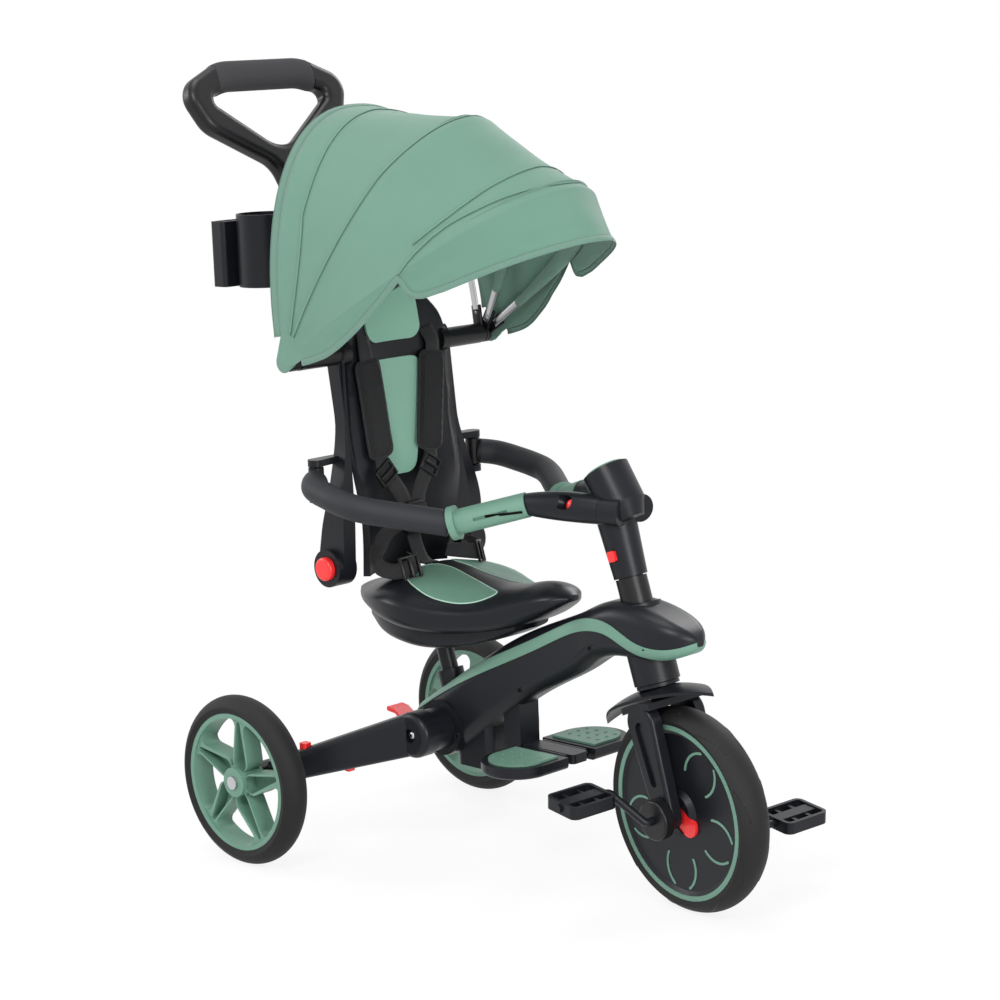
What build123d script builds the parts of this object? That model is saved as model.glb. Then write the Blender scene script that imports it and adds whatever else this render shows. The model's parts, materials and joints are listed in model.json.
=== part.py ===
"""Children's folding tricycle with a push handle, a canopy and safety arms.

X points forward, Y to the rider's left and Z up, and the wheels stand on Z = 0.
Lengths are in millimetres and angles in degrees. A place called ahead is counted
from the rear axle, and a place called up is counted along the steering axis from
the front axle.
"""
from build123d import *
import os
from math import asin, cos, pi, radians, sin

# Wheels and their places
rear_axle_x = -262.0
wheelbase = 566.0
half_track = 211.0
front_wheel_radius = 125.0
front_tyre_width = 46.0
front_rim_radius = 107.0
front_band_depth = 6.0
front_disc_half = 16.0
rear_wheel_radius = 110.0
rear_tyre_width = 38.0
rear_rim_radius = 89.0
rear_band_depth = 6.0
rear_spokes = 5
axle_radius = 4.9
rear_axle_radius = 5.0
front_hub_half = 22.0
rear_hub_radius = 19.0
spoke_start = 9.0
spoke_depth = 26.0
spoke_floor = 8.0
spoke_root = 14.0
spoke_tip = 6.0
spoke_wall = 2.6
spoke_lean = 4.0
spoke_overlap = 4.0
spoke_end_gap = 7.0
spoke_round = 10.0

# Fits
running_fit = 0.06
seat_gap = 0.05
clear_gap = 0.4

# Steering
rake = 17.0
rest_steer = -8.5
head_low_up = 155.0
head_high_up = 250.0
head_bore = 15.0
head_radius = 28.0
steerer_radius = 12.0
steerer_wall = 3.0
steerer_top_up = 214.0
bush_length = 14.0
leg_inner = 27.0
leg_thickness = 16.0
leg_end_radius = 17.0
leg_top_radius = 24.0
leg_top_up = 112.0
leg_edge = 5.0
crown_low = 129.0
crown_high = 137.0
crown_half_length = 26.0
fender_thickness = 3.5
fender_half_width = 36.0
fender_front = 96.0
fender_rear = 116.0
fender_top_up = 151.0
fender_bow = 230.0
fender_drop = 9.0
neck_radius = 26.0
neck_foot_radius = 30.0

# Cranks and pedals
crank_radius = 49.0
crank_angle = 112.6
crank_bend = 8.0
crank_out = 95.5
pedal_width = 66.0
pedal_length = 54.0
pedal_thickness = 15.0
pedal_wall = 4.5
pedal_start = 104.0
pedal_pitch = 22.9
pedal_corner = 9.0
pedal_spine = 17.0
pedal_drop = 1.5

# Stem and handlebar
sleeve_radius = 19.0
sleeve_top_up = 283.0
stem_tube_wall = 2.5
stem_tube_low_up = 225.0
stem_low_up = 284.0
stem_high_up = 356.0
stem_low_radius = 20.5
stem_high_radius = 24.0
pod_radius = 29.0
pod_tilt = 33.0
pod_length = 48.0
pod_base_radius = 19.0
pod_base_length = 20.0
pod_top = (447.0, 0.0, 521.0)
cap_radius = 25.0
cap_depth = 4.0
bar_root = (462.0, -24.0, 478.0)
bar_elbow = (415.0, -37.0, 480.0)
bar_neck = (365.0, -50.0, 479.0)
bar_end = (290.0, -95.0, 457.0)
bar_root_radius = 17.0
bar_elbow_radius = 18.0
bar_neck_radius = 14.0
bar_core_radius = 11.0
grip_radius = 15.5
grip_flange_radius = 21.0
grip_flange_length = 9.0
grip_slot_length = 44.0
grip_slot_width = 4.0
bar_button_radius = 8.8
bar_button_length = 6.0
stem_button_up = 312.0
stem_button_size = 11.0
stem_button_height = 13.0
button_travel = 3.0

# Main frame moulding: ahead, centre height, height, width
frame_sections = (
    (128.0, 164.0, 54.0, 52.0),
    (165.0, 170.0, 88.0, 66.0),
    (230.0, 207.0, 98.0, 66.0),
    (300.0, 254.0, 88.0, 60.0),
    (360.0, 285.0, 80.0, 58.0),
    (420.0, 313.0, 72.0, 62.0),
    (480.0, 336.0, 68.0, 76.0),
    (535.0, 334.0, 58.0, 74.0),
    (566.0, 332.0, 40.0, 58.0),
    (582.0, 331.0, 24.0, 34.0),
    (589.0, 330.0, 9.0, 12.0),
)
frame_corner = 0.36
stripe_proud = 1.2
stripe_upper = ((120.0, 192.0), (230.0, 254.0), (360.0, 314.0), (440.0, 346.0), (475.0, 346.0), (515.0, 329.0), (548.0, 323.0), (600.0, 338.0))
stripe_depth = 15.0

# Rear fold joint and arms
fold_ahead = 184.0
fold_height = 171.0
fold_boss_radius = 36.0
fold_boss_half = 38.0
fold_pin_radius = 8.0
arm_eye_radius = 29.5
arm_eye_outer = 92.0
arm_eye_edge = 8.0
arm_collar_radius = 27.0
arm_eye_height = 54.0
arm_eye_width = 26.0
arm_tip_height = 32.0
arm_tip_width = 24.0
arm_boss_radius = 17.0
arm_boss_length = 30.0
wheel_button_size = 12.0
wheel_button_length = 25.0
button_ahead = 53.0
button_y = 152.0
button_floor = 126.0

# Brake pedal
brake_ahead = 112.0
brake_height = 158.0
brake_pin_radius = 4.0
brake_half_width = 13.0
brake_length = 54.0
ear_thickness = 6.0

# Footrest
foot_ahead = 292.0
foot_post_length = 28.0
foot_post_width = 34.0
foot_plate_rear = 278.0
foot_plate_front = 392.0
foot_plate_half = 14.0
foot_plate_thickness = 12.0
foot_top = 164.0
foot_post_top = 232.0
foot_hinge_y = 18.0
foot_barrel_radius = 5.5
foot_pin_radius = 2.5
foot_barrel_rear = 312.0
foot_barrel_front = 384.0
foot_knuckle = 16.0
wing_reach = 112.0
wing_rear = 304.0
wing_front = 394.0
wing_thickness = 15.0
wing_edge = 6.0
foot_pad_thickness = 2.5
foot_pad_inset = 9.0

# Seat: ahead, centre height, height, width
seat_sections = (
    (30.0, 320.0, 28.0, 84.0),
    (60.0, 321.0, 46.0, 170.0),
    (110.0, 319.0, 54.0, 226.0),
    (150.0, 324.0, 70.0, 228.0),
    (190.0, 330.0, 82.0, 218.0),
    (250.0, 334.0, 76.0, 172.0),
    (310.0, 344.0, 58.0, 120.0),
    (360.0, 354.0, 40.0, 92.0),
    (388.0, 359.0, 24.0, 62.0),
    (399.0, 361.0, 7.0, 22.0),
)
seat_corner = 0.44
bowl_radius = 50.0
bowl_floor = 342.0
bowl_rear = 178.0
bowl_front = 246.0
bowl_y = 46.0
flank_ahead = 186.0
flank_height = 350.0
flank_radius = 9.0
pan_sections = (
    (95.0, 284.0, 26.0, 96.0),
    (170.0, 281.0, 28.0, 124.0),
    (240.0, 288.0, 24.0, 92.0),
    (286.0, 306.0, 14.0, 56.0),
)
seat_pad_proud = 1.2
post_radius = 11.0
post_wall = 2.0
post_ahead = 158.0
post_foot_height = 172.0
post_head_height = 292.0
post_socket_radius = 17.0
post_socket_top = 238.0

# Recline pivot and backrest
pivot_ahead = 86.0
pivot_height = 381.0
trunnion_inner = 86.0
trunnion_outer = 100.0
trunnion_radius = 22.0
pivot_pin_radius = 8.0
pivot_pin_outer = 118.0
arm_end_radius = 24.0
arm_end_outer = 130.0
side_arm_inner = 102.0
side_arm_outer = 122.0
recline_button_radius = 15.0
recline_button_inner = 126.0
recline_button_outer = 138.0
recline_travel = 4.0
shell_thickness = 9.0
# Height, back surface ahead, half width, forward reach of the wings
shell_sections = (
    (362.0, 68.0, 74.0, 24.0),
    (420.0, 73.0, 80.0, 28.0),
    (500.0, 78.0, 98.0, 34.0),
    (570.0, 79.0, 112.0, 36.0),
    (640.0, 75.0, 108.0, 32.0),
    (692.0, 67.0, 80.0, 18.0),
    (735.0, 60.0, 46.0, 7.0),
)
panel_proud = 3.0
headrest_low = 656.0
headrest_high = 728.0
headrest_half = 46.0
back_panel_low = 484.0
back_panel_high = 634.0
back_panel_half = 44.0
back_panel_foot = 26.0

# Push handle
handle_tilt = 20.6
neck_ahead = -107.0
neck_height = 883.0
handle_tube_radius = 12.5
handle_tube_foot = 322.0
loop_depth = 28.0
loop_edge = 10.5
loop_top = 136.0
hole_top = 99.0
# Corners of the handle's right half and of its hand hole, each with its bend
loop_corners = ((72.0, loop_top, 80.0), (141.0, 104.0, 30.0), (116.0, 46.0, 40.0), (22.0, -8.0, 34.0), (14.0, -42.0, 6.0))
hole_corners = ((62.0, hole_top, 70.0), (105.0, 86.0, 9.0))
hole_floor = (0.0, 8.0, 45.0)
handle_grip_half = 82.0
handle_grip_low = 86.0
grip_core_radius = 10.0
grip_core_sag = 8.0
grip_proud = 1.5
socket_radius = 18.0
socket_low = 480.0
socket_high = 640.0
cup_ahead = -64.0
cup_y = -76.0
cup_radius = 36.0
cup_wall = 2.5
cup_low = 727.0
cup_high = 820.0
phone_slot = (26.0, 62.0, 84.0)

# Safety arms
ring_radius = 16.5
ring_route = ((186.0, -172.0), (104.0, -164.0), (80.0, -118.0))
ring_bends = (70.0, 34.0)
ring_slope = 0.2
ring_gap = 1.2
ring_knuckle_half = 18.5
ring_knuckle_outer = 27.0
ring_barrel_radius = 10.0
ring_hinge_y = 138.0
ring_hinge_ahead = 84.0
ring_pin_radius = 4.0

# Canopy
hub_ahead = 82.0
hub_height = 648.0
hub_post_radius = 13.0
hub_post_outer = 158.0
hub_pin_radius = 4.0
hub_pin_outer = 178.0
bracket_radius = 15.0
bracket_thickness = 4.5
bracket_gap = 0.8
bow_radius = 2.5
rear_bow_angle = 97.0
mid_bow_angle = 60.5
front_bow_angle = 36.6
visor_fold_angle = 29.0
visor_angle = 21.0
arch_squareness = 2.3
visor_squareness = 2.0
rear_bow_height = 302.0
mid_bow_height = 338.0
front_bow_height = 382.0
visor_fold_height = 406.0
visor_height = 413.0
cloth_gap = 3.1
cloth_thickness = 2.5
cloth_foot = 32.0
cloth_half = hub_pin_outer + 1.0
cloth_edge = ((112.0, 656.0), (196.0, 697.0), (271.0, 762.0))

# Harness
harness_pad_width = 34.0
harness_pad_low = 508.0
harness_pad_high = 640.0
harness_pad_y = 50.0
harness_pad_thickness = 10.0
harness_front = 99.5
harness_turn = 16.0
strap_width = 24.0
strap_thickness = 2.0
buckle_height = 440.0
buckle_size = 44.0


def ahead(distance):
    """X of a point that lies a distance in front of the rear axle."""
    return rear_axle_x + distance


def placed(point):
    """Point of the model whose first number is counted ahead of the rear axle."""
    return Vector(ahead(point[0]), point[1], point[2])


def flipped(point):
    """Mirror image of a point on the rider's other side."""
    return Vector(point.X, -point.Y, point.Z)


def rod(start, end, radius, mode=Mode.ADD):
    """Add a round bar between two points to the part that is being built."""
    run = end - start
    with Locations(Plane(origin=start, z_dir=run)):
        Cylinder(radius, run.length, align=(Align.CENTER, Align.CENTER, Align.MIN), mode=mode)


def cross_bar(x, z, inner, outer, radius, mode=Mode.ADD):
    """Add a round bar that runs along Y between two places."""
    rod(Vector(x, inner, z), Vector(x, outer, z), radius, mode)


def save(piece, name):
    """Label a finished piece and write its STEP file."""
    piece.part.label = name
    export_step(piece.part, f"parts/{name}.step")


def save_pair(piece, name):
    """Write a right-hand piece and its mirror image on the left."""
    with BuildPart() as twin:
        mirror(piece.part, about=Plane.XZ)
    save(piece, f"{name}_right")
    save(twin, f"{name}_left")


def with_twin(piece):
    """One part that holds a right-hand piece and its mirror image as separate solids."""
    with BuildPart() as both:
        add(piece.part)
        mirror(piece.part, about=Plane.XZ)
    return both


def section_faces(sections, corner, extra=0.0):
    """Rounded rectangular sections across X, each grown by an extra skin."""
    faces = []
    for place, middle, height, width in sections:
        with BuildSketch(Plane(origin=(ahead(place), 0, middle), x_dir=(0, 1, 0), z_dir=(1, 0, 0))) as face:
            RectangleRounded(width + 2 * extra, height + 2 * extra, corner * min(height, width) + extra)
        faces.append(face.sketch)
    return faces


os.makedirs("parts", exist_ok=True)

front_axle = Vector(ahead(wheelbase), 0, front_wheel_radius)
steering = Plane(
    origin=front_axle,
    x_dir=(cos(radians(rake)), 0, sin(radians(rake))),
    z_dir=(-sin(radians(rake)), 0, cos(radians(rake))),
)
turned = Plane(
    origin=front_axle,
    x_dir=steering.x_dir * cos(radians(rest_steer)) + steering.y_dir * sin(radians(rest_steer)),
    z_dir=steering.z_dir,
)
wheel_side = Plane(origin=front_axle, x_dir=turned.x_dir, z_dir=-turned.y_dir)
wheel_axis = Axis(front_axle, turned.y_dir)


def along_steering(up):
    """Point on the steering axis."""
    return front_axle + steering.z_dir * up


def tyre(plane, rim, outer, width, axis):
    """Round-shouldered tyre whose section lies on a plane that holds the axle."""
    half = width / 2
    bead = 0.86 * half
    shoulder = rim + 0.35 * (outer - rim)
    with BuildPart() as piece:
        with BuildSketch(plane):
            with BuildLine():
                Polyline((shoulder, -half), (rim, -bead), (rim, bead), (shoulder, half))
                ThreePointArc((shoulder, half), (outer, 0), (shoulder, -half))
            make_face()
        revolve(axis=axis)
    return piece


# Front wheel
save(tyre(turned, front_rim_radius + seat_gap, front_wheel_radius, front_tyre_width, wheel_axis), "front_tyre")

band_inner = front_rim_radius - front_band_depth
clutch_half = 36.0
clutch_width = 26.0
clutch_turn = -52.0
clutch_bore = 8.0
clutch_recess = 12.0
dash_width = 3.0
dash_height = 0.8
with BuildPart() as front_disc:
    with BuildSketch(turned):
        with BuildLine():
            disc_edge = band_inner - seat_gap
            disc_rise = disc_edge - 5.0
            hub_edge = 24.0
            hub_foot = 30.0
            bore = axle_radius + running_fit
            Polyline(
                (bore, -front_hub_half), (hub_edge, -front_hub_half), (hub_foot, -front_disc_half),
                (disc_rise, -front_disc_half), (disc_edge, -front_hub_half + 3), (disc_edge, front_hub_half - 3),
                (disc_rise, front_disc_half), (hub_foot, front_disc_half), (hub_edge, front_hub_half),
                (bore, front_hub_half), close=True,
            )
        make_face()
    revolve(axis=wheel_axis)
    with BuildSketch(wheel_side.offset(front_hub_half)):
        SlotOverall(2 * (clutch_half + clear_gap), clutch_width + 2 * clear_gap, rotation=clutch_turn)
    extrude(amount=-clutch_recess, mode=Mode.SUBTRACT)
save(front_disc, "front_disc")

with BuildPart() as front_trim:
    with BuildSketch(turned):
        with Locations((front_rim_radius - front_band_depth / 2, 0)):
            Rectangle(front_band_depth, front_tyre_width - 6)
    revolve(axis=wheel_axis)
    for face_plane in (wheel_side.offset(front_disc_half), wheel_side.offset(-front_disc_half - dash_height)):
        with BuildSketch(face_plane):
            for first, lean in ((-14.0, -22.0), (14.0, 22.0)):
                with PolarLocations(0, 5, start_angle=first):
                    with BuildLine(mode=Mode.PRIVATE) as dash:
                        ThreePointArc((58, 0), (74, lean / 8), (90, lean))
                    SlotArc(dash.wire(), dash_width)
        extrude(amount=dash_height)
save(front_trim, "front_trim")

with BuildPart() as clutch_bar:
    clutch_thickness = 6.5
    with BuildSketch(wheel_side.offset(front_hub_half - clutch_recess + button_travel + clear_gap)):
        SlotOverall(2 * clutch_half, clutch_width, rotation=clutch_turn)
        Circle(clutch_bore, mode=Mode.SUBTRACT)
    extrude(amount=clutch_thickness)
save(clutch_bar, "clutch_bar")

# Fork, fender and their bushes
with BuildPart() as fork:
    with BuildSketch(wheel_side.offset(leg_inner)):
        Circle(leg_end_radius)
        with Locations((0, leg_top_up)):
            Circle(leg_top_radius)
        make_hull()
    extrude(amount=leg_thickness)
    fillet(fork.faces().sort_by(Axis(front_axle, wheel_side.z_dir))[-1].edges(), leg_edge)
    with BuildSketch(wheel_side.offset(leg_inner + leg_thickness)):
        with Locations((0, 42)):
            Circle(5.5)
        with Locations((0, leg_top_up - 6)):
            Circle(9)
        make_hull()
    extrude(amount=-4, mode=Mode.SUBTRACT)
    mirror(about=Plane(origin=front_axle, x_dir=turned.x_dir, z_dir=turned.y_dir))
    with BuildSketch(wheel_side):
        Circle(crown_high)
        Circle(crown_low, mode=Mode.SUBTRACT)
        with Locations((0, crown_high)):
            Rectangle(2 * crown_half_length, crown_high, mode=Mode.INTERSECT)
    extrude(amount=leg_inner + leg_thickness, both=True)
    rod(along_steering(crown_low), along_steering(steerer_top_up), steerer_radius)
    rod(along_steering(crown_high + 4), along_steering(steerer_top_up), steerer_radius - steerer_wall, Mode.SUBTRACT)
    bush_outer = 9.0
    with BuildSketch(wheel_side.offset(-leg_inner - leg_thickness)):
        Circle(bush_outer)
    extrude(amount=2 * (leg_inner + leg_thickness), mode=Mode.SUBTRACT)
save(fork, "fork")

with BuildPart() as axle_bushes:
    for start in (leg_inner, -leg_inner - leg_thickness):
        with BuildSketch(wheel_side.offset(start)):
            Circle(bush_outer - seat_gap)
            Circle(axle_radius + running_fit, mode=Mode.SUBTRACT)
        extrude(amount=leg_thickness)
save(axle_bushes, "axle_bushes")

cap_radius_hub = 24.5
cap_length = 16.0
with BuildPart() as hub_caps:
    for start in (leg_inner + leg_thickness, -leg_inner - leg_thickness - cap_length):
        with BuildSketch(wheel_side.offset(start)):
            Circle(cap_radius_hub)
            Circle(axle_radius + clear_gap, mode=Mode.SUBTRACT)
        extrude(amount=cap_length)
    fillet(hub_caps.edges().filter_by(GeomType.CIRCLE).group_by(SortBy.RADIUS)[-1], 3)
save(hub_caps, "hub_caps")

fender_axle = along_steering(fender_top_up - fender_bow)
with BuildPart() as fender:
    with BuildSketch(Plane(origin=fender_axle, x_dir=turned.z_dir, z_dir=-turned.x_dir)):
        with BuildLine():
            edge = fender_bow - fender_drop
            low, high = fender_bow - fender_thickness, edge - fender_thickness
            ThreePointArc((edge, -fender_half_width), (fender_bow, 0), (edge, fender_half_width))
            ThreePointArc((high, fender_half_width), (low, 0), (high, -fender_half_width))
            Line((edge, fender_half_width), (high, fender_half_width))
            Line((high, -fender_half_width), (edge, -fender_half_width))
        make_face()
    revolve(axis=Axis(fender_axle, turned.y_dir))
    with BuildSketch(turned):
        with BuildLine():
            ThreePointArc((-fender_rear, 0), (0, fender_half_width), (fender_front, 0))
            ThreePointArc((fender_front, 0), (0, -fender_half_width), (-fender_rear, 0))
        make_face()
    extrude(amount=2 * crown_high, mode=Mode.INTERSECT)
    with BuildSketch(turned.offset(crown_high + clear_gap)):
        Circle(neck_foot_radius)
    with BuildSketch(turned.offset(fender_top_up)):
        Circle(neck_radius)
    loft()
    rod(along_steering(fender_top_up - 1), along_steering(head_low_up - 1), neck_radius)
    rod(along_steering(crown_low), along_steering(head_low_up), steerer_radius + seat_gap, Mode.SUBTRACT)
save(fender, "fender")

# Crankshaft and pedals
crank_y = leg_inner + leg_thickness + cap_length + 9.5
crank_dir = turned.x_dir * cos(radians(crank_angle)) + turned.z_dir * sin(radians(crank_angle))
left = turned.y_dir
pedal_right_hub = front_axle + crank_dir * crank_radius
pedal_left_hub = front_axle - crank_dir * crank_radius
spindle_end = pedal_start + pedal_width + 3.0
with BuildPart() as crankshaft:
    with BuildLine():
        FilletPolyline(
            pedal_right_hub - left * spindle_end,
            pedal_right_hub - left * crank_out,
            front_axle - left * crank_y,
            front_axle + left * crank_y,
            pedal_left_hub + left * crank_out,
            pedal_left_hub + left * spindle_end,
            radius=crank_bend,
        )
    with BuildSketch(Plane(origin=pedal_right_hub - left * spindle_end, z_dir=left)):
        Circle(axle_radius)
    sweep()
save(crankshaft, "crankshaft")


def pedal(hub, outward):
    """Open pedal body with a spine that turns on the crank's spindle."""
    face_dir = turned.z_dir * cos(radians(pedal_pitch)) + turned.x_dir * sin(radians(pedal_pitch))
    flat = Plane(origin=hub + outward * (pedal_start + pedal_width / 2), x_dir=left, z_dir=face_dir)
    with BuildPart() as body:
        with BuildSketch(flat.offset(-pedal_thickness / 2)):
            RectangleRounded(pedal_width, pedal_length, pedal_corner)
            RectangleRounded(pedal_width - 2 * pedal_wall, pedal_length - 2 * pedal_wall, pedal_corner / 2, mode=Mode.SUBTRACT)
        extrude(amount=pedal_thickness)
        with BuildSketch(flat.offset(-pedal_thickness / 2)):
            Rectangle(pedal_width - pedal_wall, pedal_spine)
        extrude(amount=pedal_thickness - pedal_drop)
        with BuildSketch(flat.offset(-pedal_thickness / 2)):
            with GridLocations(pedal_width / 3, 0, 2, 1):
                Rectangle(pedal_wall, pedal_length - pedal_wall)
        extrude(amount=pedal_thickness - 2 * pedal_drop)
        rod(hub + outward * (pedal_start - 1), hub + outward * (spindle_end + 6), axle_radius + running_fit, Mode.SUBTRACT)
    return body


save(pedal(pedal_right_hub, -left), "pedal_right")
save(pedal(pedal_left_hub, left), "pedal_left")

# Main frame moulding
post_dir = Vector(-sin(radians(rake)), 0, cos(radians(rake)))


def on_post(height):
    """Point of the seat post's axis at a height."""
    return placed((post_ahead, 0, 268.0)) + post_dir * ((height - 268.0) / cos(radians(rake)))


fold_x = ahead(fold_ahead)
brake_x = ahead(brake_ahead)
with BuildPart() as frame_core:
    loft(section_faces(frame_sections, frame_corner))

with BuildPart() as frame_cover:
    add(frame_core.part)
    rod(along_steering(head_low_up), along_steering(head_high_up), head_radius)
    cross_bar(fold_x, fold_height, -fold_boss_half, fold_boss_half, fold_boss_radius)
    rod(on_post(post_foot_height), on_post(post_socket_top), post_socket_radius)
    with BuildSketch(Plane.XY.offset(122)):
        with Locations((ahead(226), 0)):
            RectangleRounded(62, 44, 10)
    extrude(amount=60)
    for side in (1, -1):
        with BuildSketch(Plane.XZ.offset(side * (brake_half_width + ear_thickness / 2 + clear_gap))):
            with Locations((brake_x, brake_height)):
                Circle(9)
            with Locations((ahead(136), brake_height)):
                Circle(11)
            make_hull()
        extrude(amount=ear_thickness / 2, both=True)
    rod(along_steering(head_low_up - 5), along_steering(head_high_up + 5), head_bore, Mode.SUBTRACT)
    rod(along_steering(head_high_up), along_steering(head_high_up + 40), sleeve_radius + clear_gap, Mode.SUBTRACT)
    rod(along_steering(head_low_up - 40), along_steering(head_low_up), head_radius + 2, Mode.SUBTRACT)
    cross_bar(fold_x, fold_height, -fold_boss_half, fold_boss_half, fold_pin_radius, Mode.SUBTRACT)
    cross_bar(brake_x, brake_height, -40, 40, brake_pin_radius, Mode.SUBTRACT)
    cross_bar(brake_x, brake_height, -brake_half_width - clear_gap, brake_half_width + clear_gap, 13, Mode.SUBTRACT)
    rod(on_post(post_foot_height - 6), on_post(post_socket_top + 30), post_radius + running_fit, Mode.SUBTRACT)
    with BuildSketch(Plane.XY.offset(foot_top)):
        with Locations((ahead(foot_ahead), 0)):
            Rectangle(foot_post_length + 2 * seat_gap, foot_post_width + 2 * seat_gap)
    extrude(amount=foot_post_top - foot_top, mode=Mode.SUBTRACT)
save(frame_cover, "frame_cover")

with BuildPart() as frame_stripe:
    loft(section_faces(frame_sections, frame_corner, stripe_proud))
    with BuildSketch(Plane.XZ):
        with BuildLine():
            upper = [(ahead(x), z) for x, z in stripe_upper]
            lower = [(x, z - stripe_depth) for x, z in upper]
            Spline(*upper)
            Line(upper[-1], lower[-1])
            Spline(*lower)
            Line(upper[0], lower[0])
        make_face()
    extrude(amount=120, both=True, mode=Mode.INTERSECT)
    add(frame_core.part, mode=Mode.SUBTRACT)
    add(frame_cover.part, mode=Mode.SUBTRACT)
    rod(along_steering(head_low_up), along_steering(head_high_up + 40), head_radius + clear_gap, Mode.SUBTRACT)
    rod(on_post(post_foot_height), on_post(post_socket_top + 60), post_socket_radius + clear_gap, Mode.SUBTRACT)
    cross_bar(fold_x, fold_height, -fold_boss_half - 4, fold_boss_half + 4, fold_boss_radius + clear_gap, Mode.SUBTRACT)
    with BuildSketch(Plane.YZ.offset(ahead(frame_sections[0][0]) - 10)):
        Rectangle(200, 800)
    extrude(amount=11, mode=Mode.SUBTRACT)
save(frame_stripe, "frame_stripe")

with BuildPart() as head_bushes:
    for low in (head_low_up + 2, steerer_top_up - bush_length - 2):
        rod(along_steering(low), along_steering(low + bush_length), head_bore - seat_gap)
    rod(along_steering(head_low_up), along_steering(steerer_top_up), steerer_radius + running_fit, Mode.SUBTRACT)
save(head_bushes, "head_bushes")

with BuildPart() as stem_sleeve:
    rod(along_steering(head_high_up), along_steering(sleeve_top_up), sleeve_radius)
    rod(along_steering(head_high_up), along_steering(sleeve_top_up), head_bore, Mode.SUBTRACT)
save(stem_sleeve, "stem_sleeve")

hinge_x = ahead(foot_barrel_rear)
with BuildPart() as hinge_pins:
    cross_bar(fold_x, fold_height, -arm_eye_outer + 8, arm_eye_outer - 8, fold_pin_radius - running_fit)
    pin_half = brake_half_width + ear_thickness + 1
    cross_bar(brake_x, brake_height, -pin_half, pin_half, brake_pin_radius - running_fit)
    for side in (1, -1):
        start = Vector(hinge_x, side * foot_hinge_y, foot_top - foot_barrel_radius)
        end = Vector(ahead(foot_barrel_front), side * foot_hinge_y, foot_top - foot_barrel_radius)
        rod(start, end, foot_pin_radius - running_fit)
save(hinge_pins, "hinge_pins")

# Footrest
barrel_z = foot_top - foot_barrel_radius
with BuildPart() as footrest_post:
    with BuildSketch(Plane.XY.offset(foot_top - foot_plate_thickness)):
        with Locations((ahead((foot_plate_rear + foot_plate_front) / 2), 0)):
            RectangleRounded(foot_plate_front - foot_plate_rear, 2 * foot_plate_half, 6)
    extrude(amount=foot_plate_thickness)
    with BuildSketch(Plane.XY.offset(foot_top - foot_plate_thickness / 2)):
        with Locations((ahead(foot_ahead), 0)):
            Rectangle(foot_post_length, foot_post_width)
    extrude(amount=foot_post_top - foot_top + foot_plate_thickness / 2 - clear_gap)
    for side in (1, -1):
        for start in (foot_barrel_rear, foot_barrel_front - foot_knuckle):
            low = Vector(ahead(start), side * foot_hinge_y, barrel_z)
            high = Vector(ahead(start + foot_knuckle), side * foot_hinge_y, barrel_z)
            rod(low, high, foot_barrel_radius)
        low = Vector(hinge_x, side * foot_hinge_y, barrel_z)
        high = Vector(ahead(foot_barrel_front), side * foot_hinge_y, barrel_z)
        rod(low, high, foot_pin_radius, Mode.SUBTRACT)
        mid_low = Vector(ahead(foot_barrel_rear + foot_knuckle), side * foot_hinge_y, barrel_z)
        mid_high = Vector(ahead(foot_barrel_front - foot_knuckle), side * foot_hinge_y, barrel_z)
        rod(mid_low, mid_high, foot_barrel_radius + clear_gap, Mode.SUBTRACT)
save(footrest_post, "footrest_post")

wing_inner = foot_hinge_y + foot_barrel_radius + 2 * clear_gap
wing_mid = (wing_rear + wing_front) / 2


def wing_outline(inset):
    """Plan of the right-hand footrest wing, drawn in by an inset."""
    reach = wing_reach - inset
    with BuildSketch(mode=Mode.PRIVATE) as plan:
        with BuildLine():
            inner = -wing_inner - inset
            bend = -reach + 42
            Polyline((ahead(wing_rear + inset), bend), (ahead(wing_rear + inset), inner))
            Polyline((ahead(wing_rear + inset), inner), (ahead(wing_front - inset), inner))
            Polyline((ahead(wing_front - inset), inner), (ahead(wing_front - inset), bend))
            ThreePointArc((ahead(wing_front - inset), bend), (ahead(wing_mid), -reach), (ahead(wing_rear + inset), bend))
        make_face()
    return plan.sketch


with BuildPart() as foot_wing:
    extrude(wing_outline(0), amount=wing_thickness)
    fillet(foot_wing.faces().sort_by(Axis.Z)[0].edges().sort_by(Axis.Y)[:-1], wing_edge)
    foot_wing.part = foot_wing.part.moved(Location((0, 0, foot_top - wing_thickness)))
    wing_gap = foot_knuckle + clear_gap
    low = Vector(ahead(foot_barrel_rear + wing_gap), -foot_hinge_y, barrel_z)
    high = Vector(ahead(foot_barrel_front - wing_gap), -foot_hinge_y, barrel_z)
    rod(low, high, foot_barrel_radius)
    with BuildSketch(Plane.YZ.offset(low.X)):
        with Locations((-(wing_inner + foot_hinge_y) / 2, barrel_z)):
            Rectangle(wing_inner - foot_hinge_y + 2, 6)
    extrude(amount=high.X - low.X)
    rod(low, high, foot_pin_radius, Mode.SUBTRACT)
save_pair(foot_wing, "foot_wing")

with BuildPart() as foot_pad:
    extrude(wing_outline(foot_pad_inset), amount=foot_pad_thickness)
    with Locations((ahead(wing_mid), -(wing_inner + wing_reach) / 2, foot_pad_thickness)):
        with GridLocations(16, 16, 4, 3):
            Cylinder(2.2, 0.8, align=(Align.CENTER, Align.CENTER, Align.MIN))
    foot_pad.part = foot_pad.part.moved(Location((0, 0, foot_top)))
save_pair(foot_pad, "foot_pad")

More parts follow.
